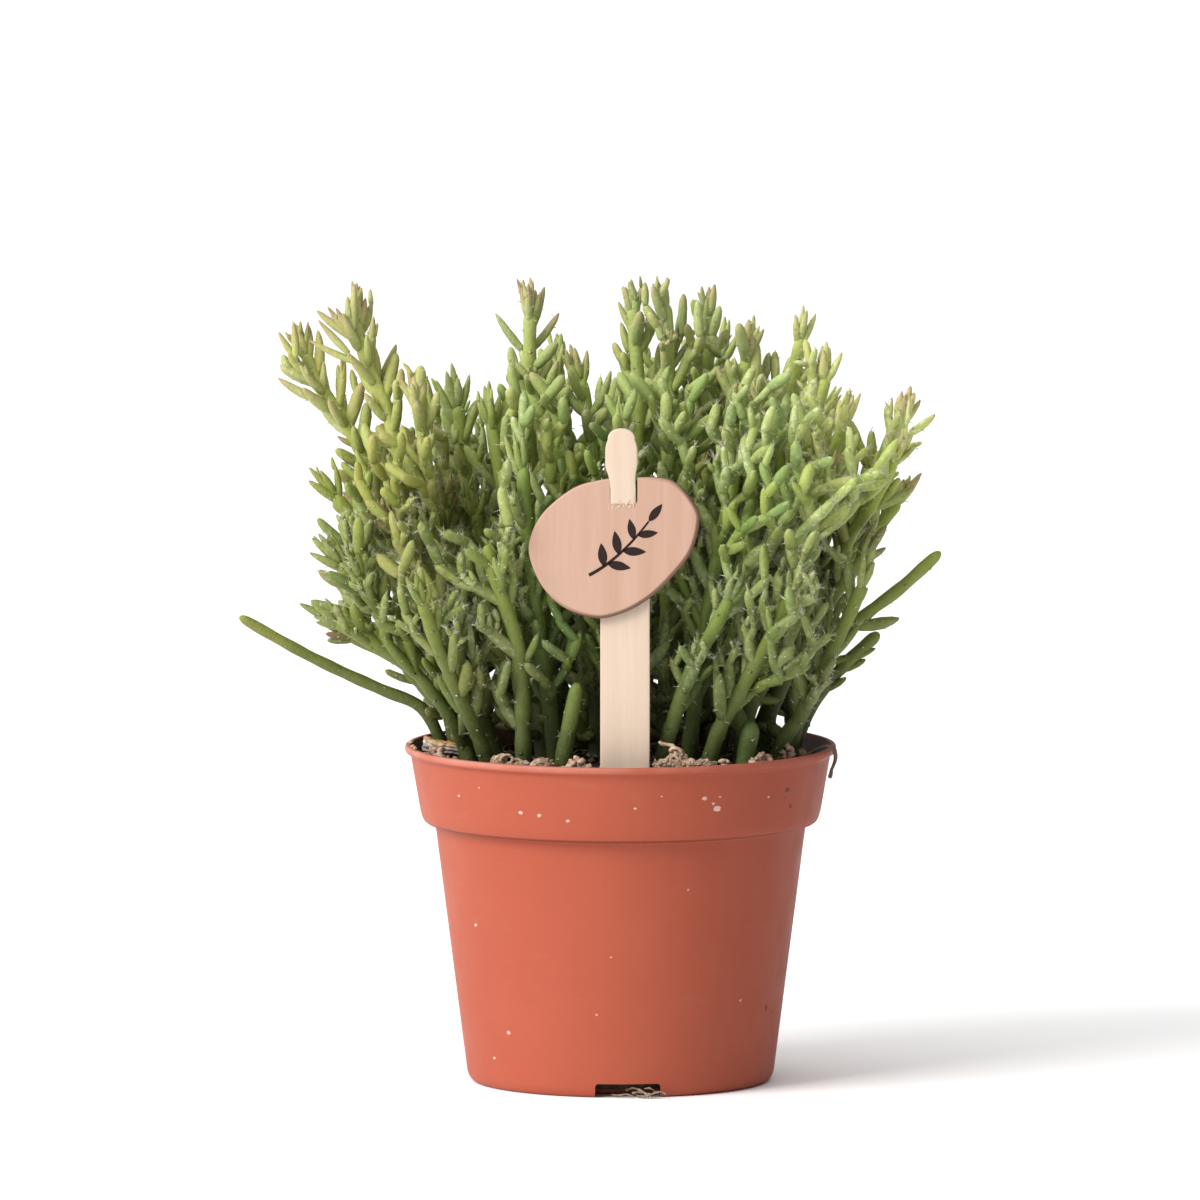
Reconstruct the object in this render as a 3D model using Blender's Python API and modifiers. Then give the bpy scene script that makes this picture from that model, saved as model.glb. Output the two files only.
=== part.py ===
"""Potted rhipsalis: a banded nursery pot, its soil, the rooted cuttings, and a wooden stick with a hanging tag.

The origin is the centre of the pot's underside. +Z is up, -Y is the front. Lengths in the tables are millimetres.
"""
import math
import random

import bmesh
import bpy
import numpy as np
from mathutils import Matrix, Vector

MM = 0.001

# pot
POT_HEIGHT = 70.6
RIM_RADIUS = 45.0
BAND_TOP_RADIUS = 43.9
BAND_FOOT_RADIUS = 41.5
BAND_FOOT_Z = 55.6
WALL_TOP_RADIUS = 39.0
FOOT_RADIUS = 32.1
FLOOR_RADIUS = 30.4
WALL = 1.1
FLOOR = 1.2
POT_STEPS = 48
NOTCHES = 3
NOTCH_WIDTH = 13.6
NOTCH_HEIGHT = 3.0
NOTCH_INNER_RADIUS = 25.0
NOTCH_TURN = 2.7

# soil
GAP = 0.3
SOIL_EDGE_Z = 66.0
SOIL_CROWN = 2.0
SOCKET_CLEARANCE = 0.5
ROOT_DEPTH = 9.0

# stick and tag
STICK_Y = -34.5
STICK_THICKNESS = 1.3
STICK_X = 0.9
TAG_THICKNESS = 1.3
TAG_Y = STICK_Y - STICK_THICKNESS / 2 - GAP - TAG_THICKNESS / 2
NECK_FORWARD = 1.7
NECK_SHIFT = -0.4
HEAD_SHIFT = -0.35
SLOT_WIDTH = 6.0
SLOT_FOOT_Z = 124.6

# bark chip
CHIP_SIZE = (9.0, 3.6, 2.3)
CHIP_AT = (-36.9, -7.0, 70.7)
CHIP_TURN = (0.0, 10.0, -4.0)

# cuttings: node, forks from this row (or None), radius at the foot and at the tip,
# the foot on the soil (x, y), then the points that the stem passes, ending at its tip
STEMS = [
    ("stem_left_crown", None, 1.75, 1.10, (-26, -4), [(-31, -6, 82), (-41, -6, 110), (-45.5, -5, 129), (-50, -4, 145), (-54, -4, 153), (-55.2, -4, 165)]),
    ("stem_left_crown", 0, 1.35, 1.05, None, [(-35, -9, 92), (-39, -13, 119), (-41, -13, 136), (-43.6, -12, 149)]),
    ("stem_left_high", None, 1.70, 1.10, (-30.5, 6), [(-36, 6, 84), (-46, 5, 112), (-55, 3, 133.5), (-62.5, 3, 145), (-68, 3, 157)]),
    ("stem_left_high", 2, 1.30, 1.05, None, [(-36, 9, 80), (-45, 13, 86), (-55, 14, 91), (-62, 13, 94.5)]),
    ("stem_left_mid", None, 1.70, 1.10, (-33.5, -3), [(-37, -2, 80), (-44, 0, 99), (-53, 0, 114), (-63, 0, 127)]),
    ("stem_left_long", None, 1.45, 0.95, (-36.2, 2.8), [(-41.6, 2.5, 77.9), (-49.6, 3, 81.5), (-57.6, 3, 85.1), (-65.6, 2.5, 89.1), (-73.6, 2, 93.6), (-79.6, 1, 97.2)]),
    ("stem_left_low", None, 1.65, 1.05, (-31.5, -12), [(-36, -13, 80), (-46, -13, 95), (-55, -13, 106), (-62.3, -12, 113.5)]),
    ("stem_left_low", 6, 1.25, 1.05, None, [(-35, -16, 77), (-43, -20, 88), (-55, -21, 96), (-64, -20, 101)]),
    ("stem_front_left", None, 1.65, 1.05, (-27, -20.5), [(-31, -25, 78), (-36, -33, 90), (-40, -40, 101), (-42, -45, 110)]),
    ("stem_front_upright", None, 1.75, 1.10, (-20.2, -26.5), [(-20.4, -28, 80), (-21.5, -31, 95), (-26, -36, 109), (-29, -39, 121)]),
    ("stub_front_left", None, 1.80, 1.30, (-12.2, -30.5), [(-11, -31.5, 76), (-9.0, -32.5, 87)]),
    ("stem_front_straight", None, 1.75, 1.10, (8.6, -28.5), [(10, -30, 76), (14.5, -32.5, 89.2), (19, -35.5, 98), (25, -40, 110)]),
    ("stem_front_right", None, 1.75, 1.10, (18, -26.5), [(21, -29, 78), (28, -34, 91), (34, -40, 103), (37, -46, 112)]),
    ("stub_front_right", None, 2.00, 1.70, (25.6, -25.4), [(26.2, -26, 72), (27.2, -27, 78.5)]),
    ("stub_leaning", None, 1.80, 1.35, (27.2, -17.6), [(25.5, -18.5, 76), (20.6, -20, 87)]),
    ("stem_right_front", None, 1.65, 1.05, (32.4, -15.5), [(37, -19, 78), (43, -24, 91), (49, -28, 104), (52, -30, 112)]),
    ("stem_right_long", None, 1.55, 1.00, (34.4, -8), [(38, -8.5, 78), (44, -10, 91), (50.5, -11, 97.5), (58, -12, 103), (66.6, -13, 110.3)]),
    ("stem_right_inner", None, 1.70, 1.10, (25, -10.5), [(28, -12, 84), (36, -13, 112), (43, -13, 130), (48.3, -13, 143.5)]),
    ("stem_right_inner", 17, 1.30, 1.05, None, [(31, -10, 86), (41, -6.5, 98), (48, -6, 107), (54, -5, 115)]),
    ("stem_right_low", None, 1.60, 1.05, (35.6, 1), [(38.5, 2, 76), (44, 4, 84), (51, 4, 90.5), (57.6, 4, 97)]),
    ("stem_right_mid", None, 1.75, 1.10, (29, 2), [(33, 1, 82), (43, 1, 103), (52, 0, 124), (57, 0, 134), (60.5, 0, 144)]),
    ("stem_right_mid", 20, 1.30, 1.05, None, [(37, 6, 92), (45, 11, 104), (54, 13, 115), (61.5, 12, 124)]),
    ("stem_right_high", None, 1.75, 1.10, (20.5, 4), [(24, 5, 85), (31, 6, 122), (36, 6, 146), (38.3, 6, 160.5)]),
    ("stem_right_high", 22, 1.35, 1.05, None, [(29, 0, 98), (36, -4, 120), (41, -6, 141), (43.6, -6, 153.5)]),
    ("stem_centre_right", None, 1.75, 1.10, (9, -2), [(9.5, -1, 85), (10, 0, 118), (10, 0, 143), (9.3, 0, 168)]),
    ("stem_centre_right", 24, 1.35, 1.05, None, [(15, -4, 98), (22, -6, 122), (25.5, -6, 146), (27.2, -6, 159.5)]),
    ("stem_centre", None, 1.75, 1.10, (2, 10), [(3, 9, 85), (3, 8, 117), (3.8, 6, 142), (2, 6, 167)]),
    ("stem_centre", 26, 1.35, 1.05, None, [(10, 12, 97), (16, 14, 120), (18, 15, 144), (18.6, 15, 164.5)]),
    ("stem_centre_left", None, 1.75, 1.10, (-5, -3), [(-5, -1, 85), (-5, 3, 117), (-7, 4, 140), (-10, 4, 152)]),
    ("stem_left_spire", None, 1.75, 1.10, (-13, 6), [(-14.5, 7, 85), (-18.4, 8, 117), (-19, 8, 138), (-18.9, 8, 166)]),
    ("stem_left_inner", None, 1.75, 1.10, (-16, -6), [(-18, -5, 85), (-23.5, -3, 118), (-28, -2, 144)]),
    ("stem_left_inner", 30, 1.35, 1.05, None, [(-23, 2, 96), (-29, 9, 114), (-33, 12, 131), (-34.4, 12, 146)]),
    ("stem_behind_tag_left", None, 1.70, 1.10, (-13.5, -18), [(-15, -20, 82), (-18, -25, 105), (-20, -27, 125), (-20.5, -27, 137)]),
    ("stem_behind_tag", None, 1.70, 1.10, (0, -18.5), [(0, -20, 82), (0, -23, 105), (0.5, -25, 125), (0, -24, 142)]),
    ("stem_behind_tag_right", None, 1.70, 1.10, (14, -16.5), [(15.5, -19, 82), (18.5, -25, 104), (22, -28, 122), (24.5, -29, 136)]),
    ("stem_back", None, 1.75, 1.10, (0, 31.5), [(0, 34, 80), (1, 42, 99), (2, 50, 114), (2, 55, 124)]),
    ("stem_back", 35, 1.30, 1.05, None, [(-3, 38, 82), (-9, 46, 89), (-14, 53, 96), (-18, 59, 101)]),
    ("stem_back", 35, 1.30, 1.05, None, [(4, 40, 86), (11, 47, 92), (16, 53, 97), (21, 59, 104)]),
    ("stem_back_left", None, 1.75, 1.10, (-16, 27.5), [(-18, 30, 82), (-23, 39, 103), (-28, 47, 120), (-30, 51, 130)]),
    ("stem_back_left", 38, 1.35, 1.05, None, [(-23, 33, 98), (-32, 33, 116), (-38, 33, 131), (-41, 33, 142)]),
    ("stem_back_right", None, 1.75, 1.10, (16, 27.5), [(18, 30, 82), (23, 39, 102), (28, 47, 118), (31, 51, 128)]),
    ("stem_back_right", 40, 1.35, 1.05, None, [(24, 32, 97), (33, 31, 114), (39, 31, 129), (43, 31, 139)]),
    ("stem_back_left_low", None, 1.65, 1.05, (-27.5, 18), [(-32, 21, 79), (-41, 27, 94), (-50, 33, 106), (-56, 37, 116)]),
    ("stem_back_right_low", None, 1.65, 1.05, (28, 16.5), [(32, 20, 79), (41, 27, 94), (49, 34, 106), (54, 38, 115)]),
    ("stem_back_tall_left", None, 1.70, 1.10, (-8, 19), [(-9, 21, 85), (-11.5, 27, 115), (-13, 32, 138), (-13, 35, 152)]),
    ("stem_back_tall_right", None, 1.70, 1.10, (9.5, 18), [(11, 21, 85), (16, 26, 115), (20, 31, 140), (22, 33, 154)]),
]
SIDE_SHOOT_STEP = 12.0
SIDE_SHOOT_RADIUS = 1.25
PLANT_TOP = 169.6
# heaps of soil: middle (x, y), height, and how far they spread in x and in y
HEAPS = [(-39, -7, 2.8, 6, 5), (-20, -32, 2.2, 7, 4.5), (13, -33, 2.6, 7, 4.5), (33, -17, 2.6, 5, 6)]
BARE_STUBS = ("stub_front_left", "stub_front_right", "stub_leaning")
SPARSE = ("stem_left_long",)


# ------------------------------------------------------------------ plant growth
def soil_height(x, y):
    """Top of the soil in mm: a low mound with shallow lumps."""
    r = math.hypot(x, y)
    lumps = 0.55 * math.sin(0.31 * x + 1.3) * math.cos(0.27 * y - 0.4) + 0.4 * math.sin(0.53 * x - 0.61 * y + 0.8)
    heaps = sum(h * math.exp(-0.5 * (((x - a) / wide) ** 2 + ((y - b) / deep) ** 2)) for a, b, h, wide, deep in HEAPS)
    return SOIL_EDGE_Z + SOIL_CROWN * (1.0 - (r / 42.0) ** 2) + lumps + heaps


def smooth_line(points, step):
    """Catmull-Rom curve through the points, with samples about `step` mm apart."""
    pts = [Vector(p) for p in points]
    pts = [pts[0] * 2 - pts[1]] + pts + [pts[-1] * 2 - pts[-2]]
    line = []
    for i in range(1, len(pts) - 2):
        p0, p1, p2, p3 = pts[i - 1:i + 3]
        n = max(1, round((p2 - p1).length / step))
        for k in range(n):
            t = k / n
            line.append(0.5 * (2 * p1 + (p2 - p0) * t + (2 * p0 - 5 * p1 + 4 * p2 - p3) * t * t
                               + (3 * p1 - p0 - 3 * p2 + p3) * t ** 3))
    line.append(pts[-2])
    return line


def stem_lines():
    """Centre line of every stem, sampled 4 mm apart, moved apart where two cuttings would touch."""
    lines, starts = [], []
    for node, parent, r0, r1, foot, pts in STEMS:
        if parent is None:
            ground = Vector((foot[0], foot[1], soil_height(*foot)))
            lean = (Vector(pts[0]) - ground).normalized()
            lean = (lean + Vector((0, 0, 0.35))).normalized()
            above = ground + lean * 4.0
            line = smooth_line([above] + pts, 4.0)
            starts.append((ground, lean))
        else:
            near = min(lines[parent], key=lambda p: (p - Vector(pts[0])).length + 1.2 * abs(p.z - pts[0][2] + 7))
            line = smooth_line([near] + pts, 4.0)
            starts.append(None)
        lines.append([Vector(p) for p in line])
    owner = np.concatenate([[hash_name(STEMS[i][0])] * len(l) for i, l in enumerate(lines)])
    first = np.cumsum([0] + [len(l) for l in lines])
    P = np.array([tuple(p) for l in lines for p in l])
    R = np.concatenate([np.linspace(STEMS[i][2], STEMS[i][3], len(l)) for i, l in enumerate(lines)])
    free = np.ones(len(P))
    for i, l in enumerate(lines):
        a, b = first[i], first[i + 1]
        free[a] = 0.0
        free[a + 1] = 0.35
        free[b - 1] = 0.3
    home = P.copy()
    for _ in range(80):
        d = P[:, None, :] - P[None, :, :]
        dist = np.sqrt((d ** 2).sum(2)) + 1e-9
        want = R[:, None] + R[None, :] + 2.6
        push = np.where((owner[:, None] != owner[None, :]) & (dist < want), (want - dist) * 0.35, 0.0)
        move = (d / dist[:, :, None] * push[:, :, None]).sum(1)
        for i in range(len(lines)):
            a, b = first[i], first[i + 1]
            m = move[a:b].copy()
            m[1:-1] = 0.5 * m[1:-1] + 0.25 * (m[:-2] + m[2:])
            move[a:b] = m
        move[:, 0] *= 0.6
        move[:, 2] *= 0.4
        P += move * free[:, None] + (home - P) * 0.01 * free[:, None]
    out = []
    for i in range(len(lines)):
        a, b = first[i], first[i + 1]
        line = [Vector(p) for p in P[a:b]]
        parent = STEMS[i][1]
        if parent is not None:
            line[0] = min(out[parent], key=lambda p: (p - line[0]).length).copy()
        out.append(line)
    return out, starts


def hash_name(name):
    """Small whole number for a cutting's name, the same on every run."""
    return sum((k + 1) * ord(c) for k, c in enumerate(name)) % 100003


def gap_to(p, q, A, B):
    """Distance from the segment p-q to each of the segments A-B."""
    d1, d2, r = q - p, B - A, p - A
    a, e, f = d1 @ d1, (d2 * d2).sum(1) + 1e-12, (d2 * r).sum(1)
    c, b = r @ d1, d2 @ d1
    den = a * e - b * b
    s = np.clip(np.where(den > 1e-9, (b * f - c * e) / np.where(den > 1e-9, den, 1.0), 0.0), 0.0, 1.0)
    t = (b * s + f) / e
    s = np.where(t < 0, np.clip(-c / a, 0, 1), np.where(t > 1, np.clip((b - c) / a, 0, 1), s))
    t = np.clip(t, 0, 1)
    return np.sqrt(((p + d1 * s[:, None] - A - d2 * t[:, None]) ** 2).sum(1))


def in_the_way(p, r):
    """True where a shoot would touch the pot, the soil, the stick or the tag, or hide the tag."""
    x, y, z = p
    if z < 70.0 + r or z + r > PLANT_TOP:
        return True
    if math.hypot(x, y) > 38.0 - r and z < POT_HEIGHT + 1.4 + r:
        return True
    if -7.5 - r < x < 9.3 + r and y < -31.6 + r:
        return True
    return -22.0 < x < 19.5 and y < -31.0 + r and z > 97.0


def shoots(lines):
    """Main side shoots: stem row, start, end, radius. They spiral up each stem and keep off other cuttings."""
    A, B, R, O = [], [], [], []
    for i, line in enumerate(lines):
        o = hash_name(STEMS[i][0])
        for k in range(len(line) - 1):
            A.append(tuple(line[k]))
            B.append(tuple(line[k + 1]))
            R.append(STEMS[i][2])
            O.append(o)
    grown = []
    for i, line in enumerate(lines):
        node = STEMS[i][0]
        if node in BARE_STUBS or node in SPARSE:
            continue
        rng = random.Random(1000 + 17 * i)
        o = hash_name(node)
        run = [0.0]
        for k in range(1, len(line)):
            run.append(run[-1] + (line[k] - line[k - 1]).length)
        s = rng.uniform(9.0, 14.0) if STEMS[i][1] is None else 8.0
        turn = rng.uniform(0.0, 360.0)
        while s < run[-1] - 3.0:
            k = max(j for j in range(len(run)) if run[j] <= s)
            k = min(k, len(line) - 2)
            t = (line[k + 1] - line[k]).normalized()
            at = line[k].lerp(line[k + 1], (s - run[k]) / max(1e-6, run[k + 1] - run[k]))
            side = t.cross(Vector((0.31, 0.95, 0.05))).normalized()
            for attempt in range(14):
                azimuth = turn + attempt * 51.0
                lean = math.radians(rng.uniform(30.0, 48.0))
                length = rng.uniform(8.0, 13.0) * (1.0 - 0.25 * s / run[-1]) * (1.0 - 0.03 * attempt)
                out = Matrix.Rotation(math.radians(azimuth), 3, t) @ side
                way = (t * math.cos(lean) + out * math.sin(lean) + Vector((0, 0, 0.12))).normalized()
                tip = at + way * length
                r = SIDE_SHOOT_RADIUS
                from_skin = at + way * 2.2
                if in_the_way(tip, r) or in_the_way(at.lerp(tip, 0.5), r):
                    continue
                d = gap_to(np.array(at), np.array(tip), np.array(A), np.array(B)) - np.array(R) - r
                other = np.array(O) != o
                if d[other].min() < 0.7:
                    continue
                own = gap_to(np.array(at.lerp(tip, 0.6)), np.array(tip), np.array(A), np.array(B)) - np.array(R) - r
                if own.min() < 0.25:
                    continue
                grown.append((i, at.copy(), tip, r))
                A.append(tuple(at))
                B.append(tuple(tip))
                R.append(r)
                O.append(o)
                break
            turn += 137.5
            s += SIDE_SHOOT_STEP * rng.uniform(0.85, 1.15)
    return grown


# ------------------------------------------------------------------ scene helpers
for ob in list(bpy.data.objects):
    bpy.data.objects.remove(ob, do_unlink=True)

parts = bpy.data.collections.new("potted_rhipsalis")
cutters = bpy.data.collections.new("cutters")
for collection in (parts, cutters):
    bpy.context.scene.collection.children.link(collection)
root = bpy.data.objects.new("potted_rhipsalis_origin", None)
parts.objects.link(root)


def material(name, colour, roughness):
    mat = bpy.data.materials.new(name)
    mat.use_nodes = True
    shader = mat.node_tree.nodes["Principled BSDF"]
    shader.inputs["Base Color"].default_value = (*colour, 1.0)
    shader.inputs["Roughness"].default_value = roughness
    shader.inputs["Metallic"].default_value = 0.0
    return mat


def place(ob, collection=parts, mat=None):
    collection.objects.link(ob)
    if collection is parts:
        ob.parent = root
    else:
        ob.hide_render = True
        ob.display_type = "WIRE"
    if mat:
        ob.data.materials.append(mat)
    return ob


def from_bmesh(name, bm, collection=parts, mat=None, smooth=True):
    mesh = bpy.data.meshes.new(name)
    bmesh.ops.recalc_face_normals(bm, faces=bm.faces)
    bm.to_mesh(mesh)
    bm.free()
    if smooth:
        mesh.shade_smooth()
        mesh.set_sharp_from_angle(angle=math.radians(40))
    return place(bpy.data.objects.new(name, mesh), collection, mat)


def tube(name, points, radii, sides=1, collection=parts, mat=None):
    """Round bar along the points (mm), with its own radius at each, as a closed mesh whose origin is its foot."""
    curve = bpy.data.curves.new(name, "CURVE")
    curve.dimensions = "3D"
    curve.bevel_depth = MM
    curve.bevel_resolution = sides
    curve.use_fill_caps = True
    spline = curve.splines.new("POLY")
    spline.points.add(len(points) - 1)
    foot = Vector(points[0])
    for knot, p, r in zip(spline.points, points, radii):
        knot.co = (*((Vector(p) - foot) * MM), 1.0)
        knot.radius = r
    bar = bpy.data.objects.new(name + "_line", curve)
    bar.location = foot * MM
    cutters.objects.link(bar)
    seen = bpy.context.evaluated_depsgraph_get()
    mesh = bpy.data.meshes.new_from_object(bar.evaluated_get(seen))
    mesh.name = name
    bm = bmesh.new()
    bm.from_mesh(mesh)
    bmesh.ops.remove_doubles(bm, verts=bm.verts, dist=1e-6)
    bmesh.ops.recalc_face_normals(bm, faces=bm.faces)
    bm.to_mesh(mesh)
    bm.free()
    mesh.shade_smooth()
    mesh.set_sharp_from_angle(angle=math.radians(50))
    mesh.materials.clear()
    ob = bpy.data.objects.new(name, mesh)
    ob.matrix_world = bar.matrix_world
    ob.location = foot * MM
    bpy.data.objects.remove(bar, do_unlink=True)
    return place(ob, collection, mat)


def combine(ob, others, operation):
    """Joins or cuts `ob` with the others by Boolean, keeps the result as its mesh, and removes the others."""
    for other in others:
        step = ob.modifiers.new(operation.title(), "BOOLEAN")
        step.operation = operation
        step.solver = "EXACT"
        step.object = other
    seen = bpy.context.evaluated_depsgraph_get()
    mesh = bpy.data.meshes.new_from_object(ob.evaluated_get(seen))
    mesh.name = ob.name
    ob.modifiers.clear()
    ob.data = mesh
    for other in others:
        bpy.data.objects.remove(other, do_unlink=True)


def lump(name, at, size, seed, mat, turn=0.0, detail=1):
    """Small rough crumb: an icosphere pushed in and out, flattened below, `at` is the middle of its underside."""
    rng = random.Random(seed)
    bm = bmesh.new()
    bmesh.ops.create_icosphere(bm, subdivisions=detail, radius=1.0)
    for v in bm.verts:
        v.co *= 1.0 + rng.uniform(-0.2, 0.16)
        v.co.z = max(v.co.z, -0.55)
        v.co = Vector((v.co.x * size[0], v.co.y * size[1], (v.co.z + 0.55) / 1.6 * 2 * size[2])) * MM
    bmesh.ops.rotate(bm, verts=bm.verts, cent=(0, 0, 0), matrix=Matrix.Rotation(math.radians(turn), 3, "Z"))
    ob = from_bmesh(name, bm, mat=mat)
    ob.location = Vector(at) * MM
    return ob


# ------------------------------------------------------------------ materials
plastic = material("pot_plastic", (0.52, 0.15, 0.075), 0.42)
peat = material("soil_peat", (0.07, 0.045, 0.03), 0.95)
crumb_mat = material("soil_crumb", (0.42, 0.28, 0.17), 0.9)
stem_mat = material("rhipsalis_green", (0.20, 0.28, 0.07), 0.5)
stick_mat = material("stick_wood", (0.80, 0.60, 0.42), 0.6)
tag_mat = material("tag_wood", (0.70, 0.47, 0.33), 0.6)
bark_mat = material("bark", (0.35, 0.22, 0.12), 0.85)
root_mat = material("dry_root", (0.45, 0.34, 0.24), 0.8)

# ------------------------------------------------------------------ pot
OUTER = [
    (RIM_RADIUS - 0.5, POT_HEIGHT), (RIM_RADIUS, POT_HEIGHT - 0.35), (RIM_RADIUS - 0.05, POT_HEIGHT - 1.0),
    (BAND_TOP_RADIUS + 0.25, POT_HEIGHT - 2.0), (BAND_TOP_RADIUS, POT_HEIGHT - 2.9), (BAND_FOOT_RADIUS + 0.25, BAND_FOOT_Z + 2.0),
    (BAND_FOOT_RADIUS - 0.15, BAND_FOOT_Z + 0.5), (BAND_FOOT_RADIUS - 0.9, BAND_FOOT_Z), (WALL_TOP_RADIUS + 0.25, BAND_FOOT_Z),
    (WALL_TOP_RADIUS, BAND_FOOT_Z - 0.6), (FOOT_RADIUS, 1.5), (FLOOR_RADIUS + 0.5, 0.25), (FLOOR_RADIUS, 0.0), (0.0, 0.0),
]
INNER = [
    (0.0, FLOOR), (FLOOR_RADIUS - 1.0, FLOOR), (FOOT_RADIUS - WALL, 2.4), (WALL_TOP_RADIUS - WALL, BAND_FOOT_Z + 0.3),
    (BAND_FOOT_RADIUS - WALL - 0.7, BAND_FOOT_Z + 1.2), (BAND_FOOT_RADIUS - WALL, BAND_FOOT_Z + 2.2),
    (BAND_TOP_RADIUS - WALL, POT_HEIGHT - 2.8), (RIM_RADIUS - WALL, POT_HEIGHT - 0.35),
]
outline = bpy.data.meshes.new("pot")
outline.from_pydata([(x * MM, 0.0, z * MM) for x, z in INNER + OUTER], [(k, k + 1) for k in range(len(INNER + OUTER) - 1)], [])
pot = place(bpy.data.objects.new("pot", outline), mat=plastic)
turn_it = pot.modifiers.new("Turn", "SCREW")
turn_it.steps = turn_it.render_steps = POT_STEPS
turn_it.use_merge_vertices = True
turn_it.merge_threshold = 0.00001
turn_it.use_smooth_shade = True
for k in range(NOTCHES):
    bm = bmesh.new()
    bmesh.ops.create_cube(bm, size=1.0)
    depth = 12.0
    bmesh.ops.scale(bm, verts=bm.verts, vec=Vector((NOTCH_WIDTH, depth, NOTCH_HEIGHT + 1.0)) * MM)
    notch = from_bmesh("notch_%d" % k, bm, cutters, smooth=False)
    angle = math.radians(NOTCH_TURN + 360.0 * k / NOTCHES)
    middle = Matrix.Rotation(angle, 3, "Z") @ Vector((0.0, -(NOTCH_INNER_RADIUS + depth / 2), (NOTCH_HEIGHT - 1.0) / 2))
    notch.location = middle * MM
    notch.rotation_euler = (0.0, 0.0, angle)
    bevel = notch.modifiers.new("Corners", "BEVEL")
    bevel.width = 0.8 * MM
    bevel.segments = 1
    cut = pot.modifiers.new("Notch", "BOOLEAN")
    cut.operation = "DIFFERENCE"
    cut.solver = "EXACT"
    cut.object = notch

# ------------------------------------------------------------------ plant
lines, starts = stem_lines()
side_shoots = shoots(lines)
sockets = []
made = {}
for i, (node, parent, r0, r1, foot, pts) in enumerate(STEMS):
    line = lines[i]
    step = 4 if len(line) > 10 else 2
    knots = [0] + list(range(step - 1, len(line) - 2, step)) + [len(line) - 1]
    points = [line[k] for k in knots]
    radii = [r0 + (r1 - r0) * k / (len(line) - 1) for k in knots]
    if parent is None:
        ground, lean = starts[i]
        buried = ground - lean * ROOT_DEPTH
        points = [buried] + points
        radii = [r0] + radii
        socket = tube("socket_" + node, [buried - lean * SOCKET_CLEARANCE, ground + lean * 4.2],
                      [r0 + SOCKET_CLEARANCE] * 2, 3, cutters)
        sockets.append(socket)
    else:
        radii[0] *= 0.8
    tip = points[-1]
    back = (points[-2] - tip).normalized()
    points = points[:-1] + [tip + back * 1.1, tip]
    radii = radii[:-1] + [radii[-1], radii[-1] * 0.55]
    bar = tube(node if parent is None else node + "_fork_%d" % i, points, radii, 1, parts if parent is None else cutters,
               stem_mat if parent is None else None)
    if parent is None:
        made[node] = (bar, [])
    else:
        made[node][1].append(bar)
for k, (i, at, tip, r) in enumerate(side_shoots):
    shoot = tube("shoot_%d" % k, [at, at.lerp(tip, 0.85), tip], [r * 0.85, r, r * 0.55], 1, cutters)
    made[STEMS[i][0]][1].append(shoot)
for node, (stem, branches) in made.items():
    combine(stem, branches, "UNION")

# ------------------------------------------------------------------ soil
SOIL_SIDES = 36
SOIL_RINGS = [8.0, 16.0, 23.0, 29.5, 35.0, 39.5]
bm = bmesh.new()
wall_rows = [(FLOOR_RADIUS - 1.3, FLOOR + GAP), (FOOT_RADIUS - WALL - GAP, 2.6), (WALL_TOP_RADIUS - WALL - GAP - 0.1, BAND_FOOT_Z + 0.5),
             (BAND_FOOT_RADIUS - WALL - GAP - 0.9, BAND_FOOT_Z + 1.8), (BAND_FOOT_RADIUS - WALL - GAP - 0.1, BAND_FOOT_Z + 2.8)]
edge_radius = BAND_FOOT_RADIUS + 0.25 + (BAND_TOP_RADIUS - BAND_FOOT_RADIUS - 0.25) * 0.62 - WALL - GAP - 0.15


def ring(radius, height):
    """One closed row of points; the height may depend on x and y."""
    row = []
    for k in range(SOIL_SIDES):
        a = 2 * math.pi * k / SOIL_SIDES
        x, y = radius * math.cos(a), radius * math.sin(a)
        z = height(x, y) if callable(height) else height
        row.append(bm.verts.new(Vector((x, y, z)) * MM))
    return row


rows = [ring(r, z) for r, z in wall_rows]
rows.append(ring(edge_radius, lambda x, y: soil_height(x, y) - 0.6))
rows += [ring(r, soil_height) for r in reversed(SOIL_RINGS)]
low = bm.verts.new((0, 0, wall_rows[0][1] * MM))
high = bm.verts.new((0, 0, soil_height(0, 0) * MM))
for a, b in zip(rows, rows[1:]):
    for k in range(SOIL_SIDES):
        n = (k + 1) % SOIL_SIDES
        bm.faces.new((a[k], a[n], b[n], b[k]))
for k in range(SOIL_SIDES):
    n = (k + 1) % SOIL_SIDES
    bm.faces.new((low, rows[0][n], rows[0][k]))
    bm.faces.new((high, rows[-1][k], rows[-1][n]))
soil = from_bmesh("soil", bm, mat=peat)

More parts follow.
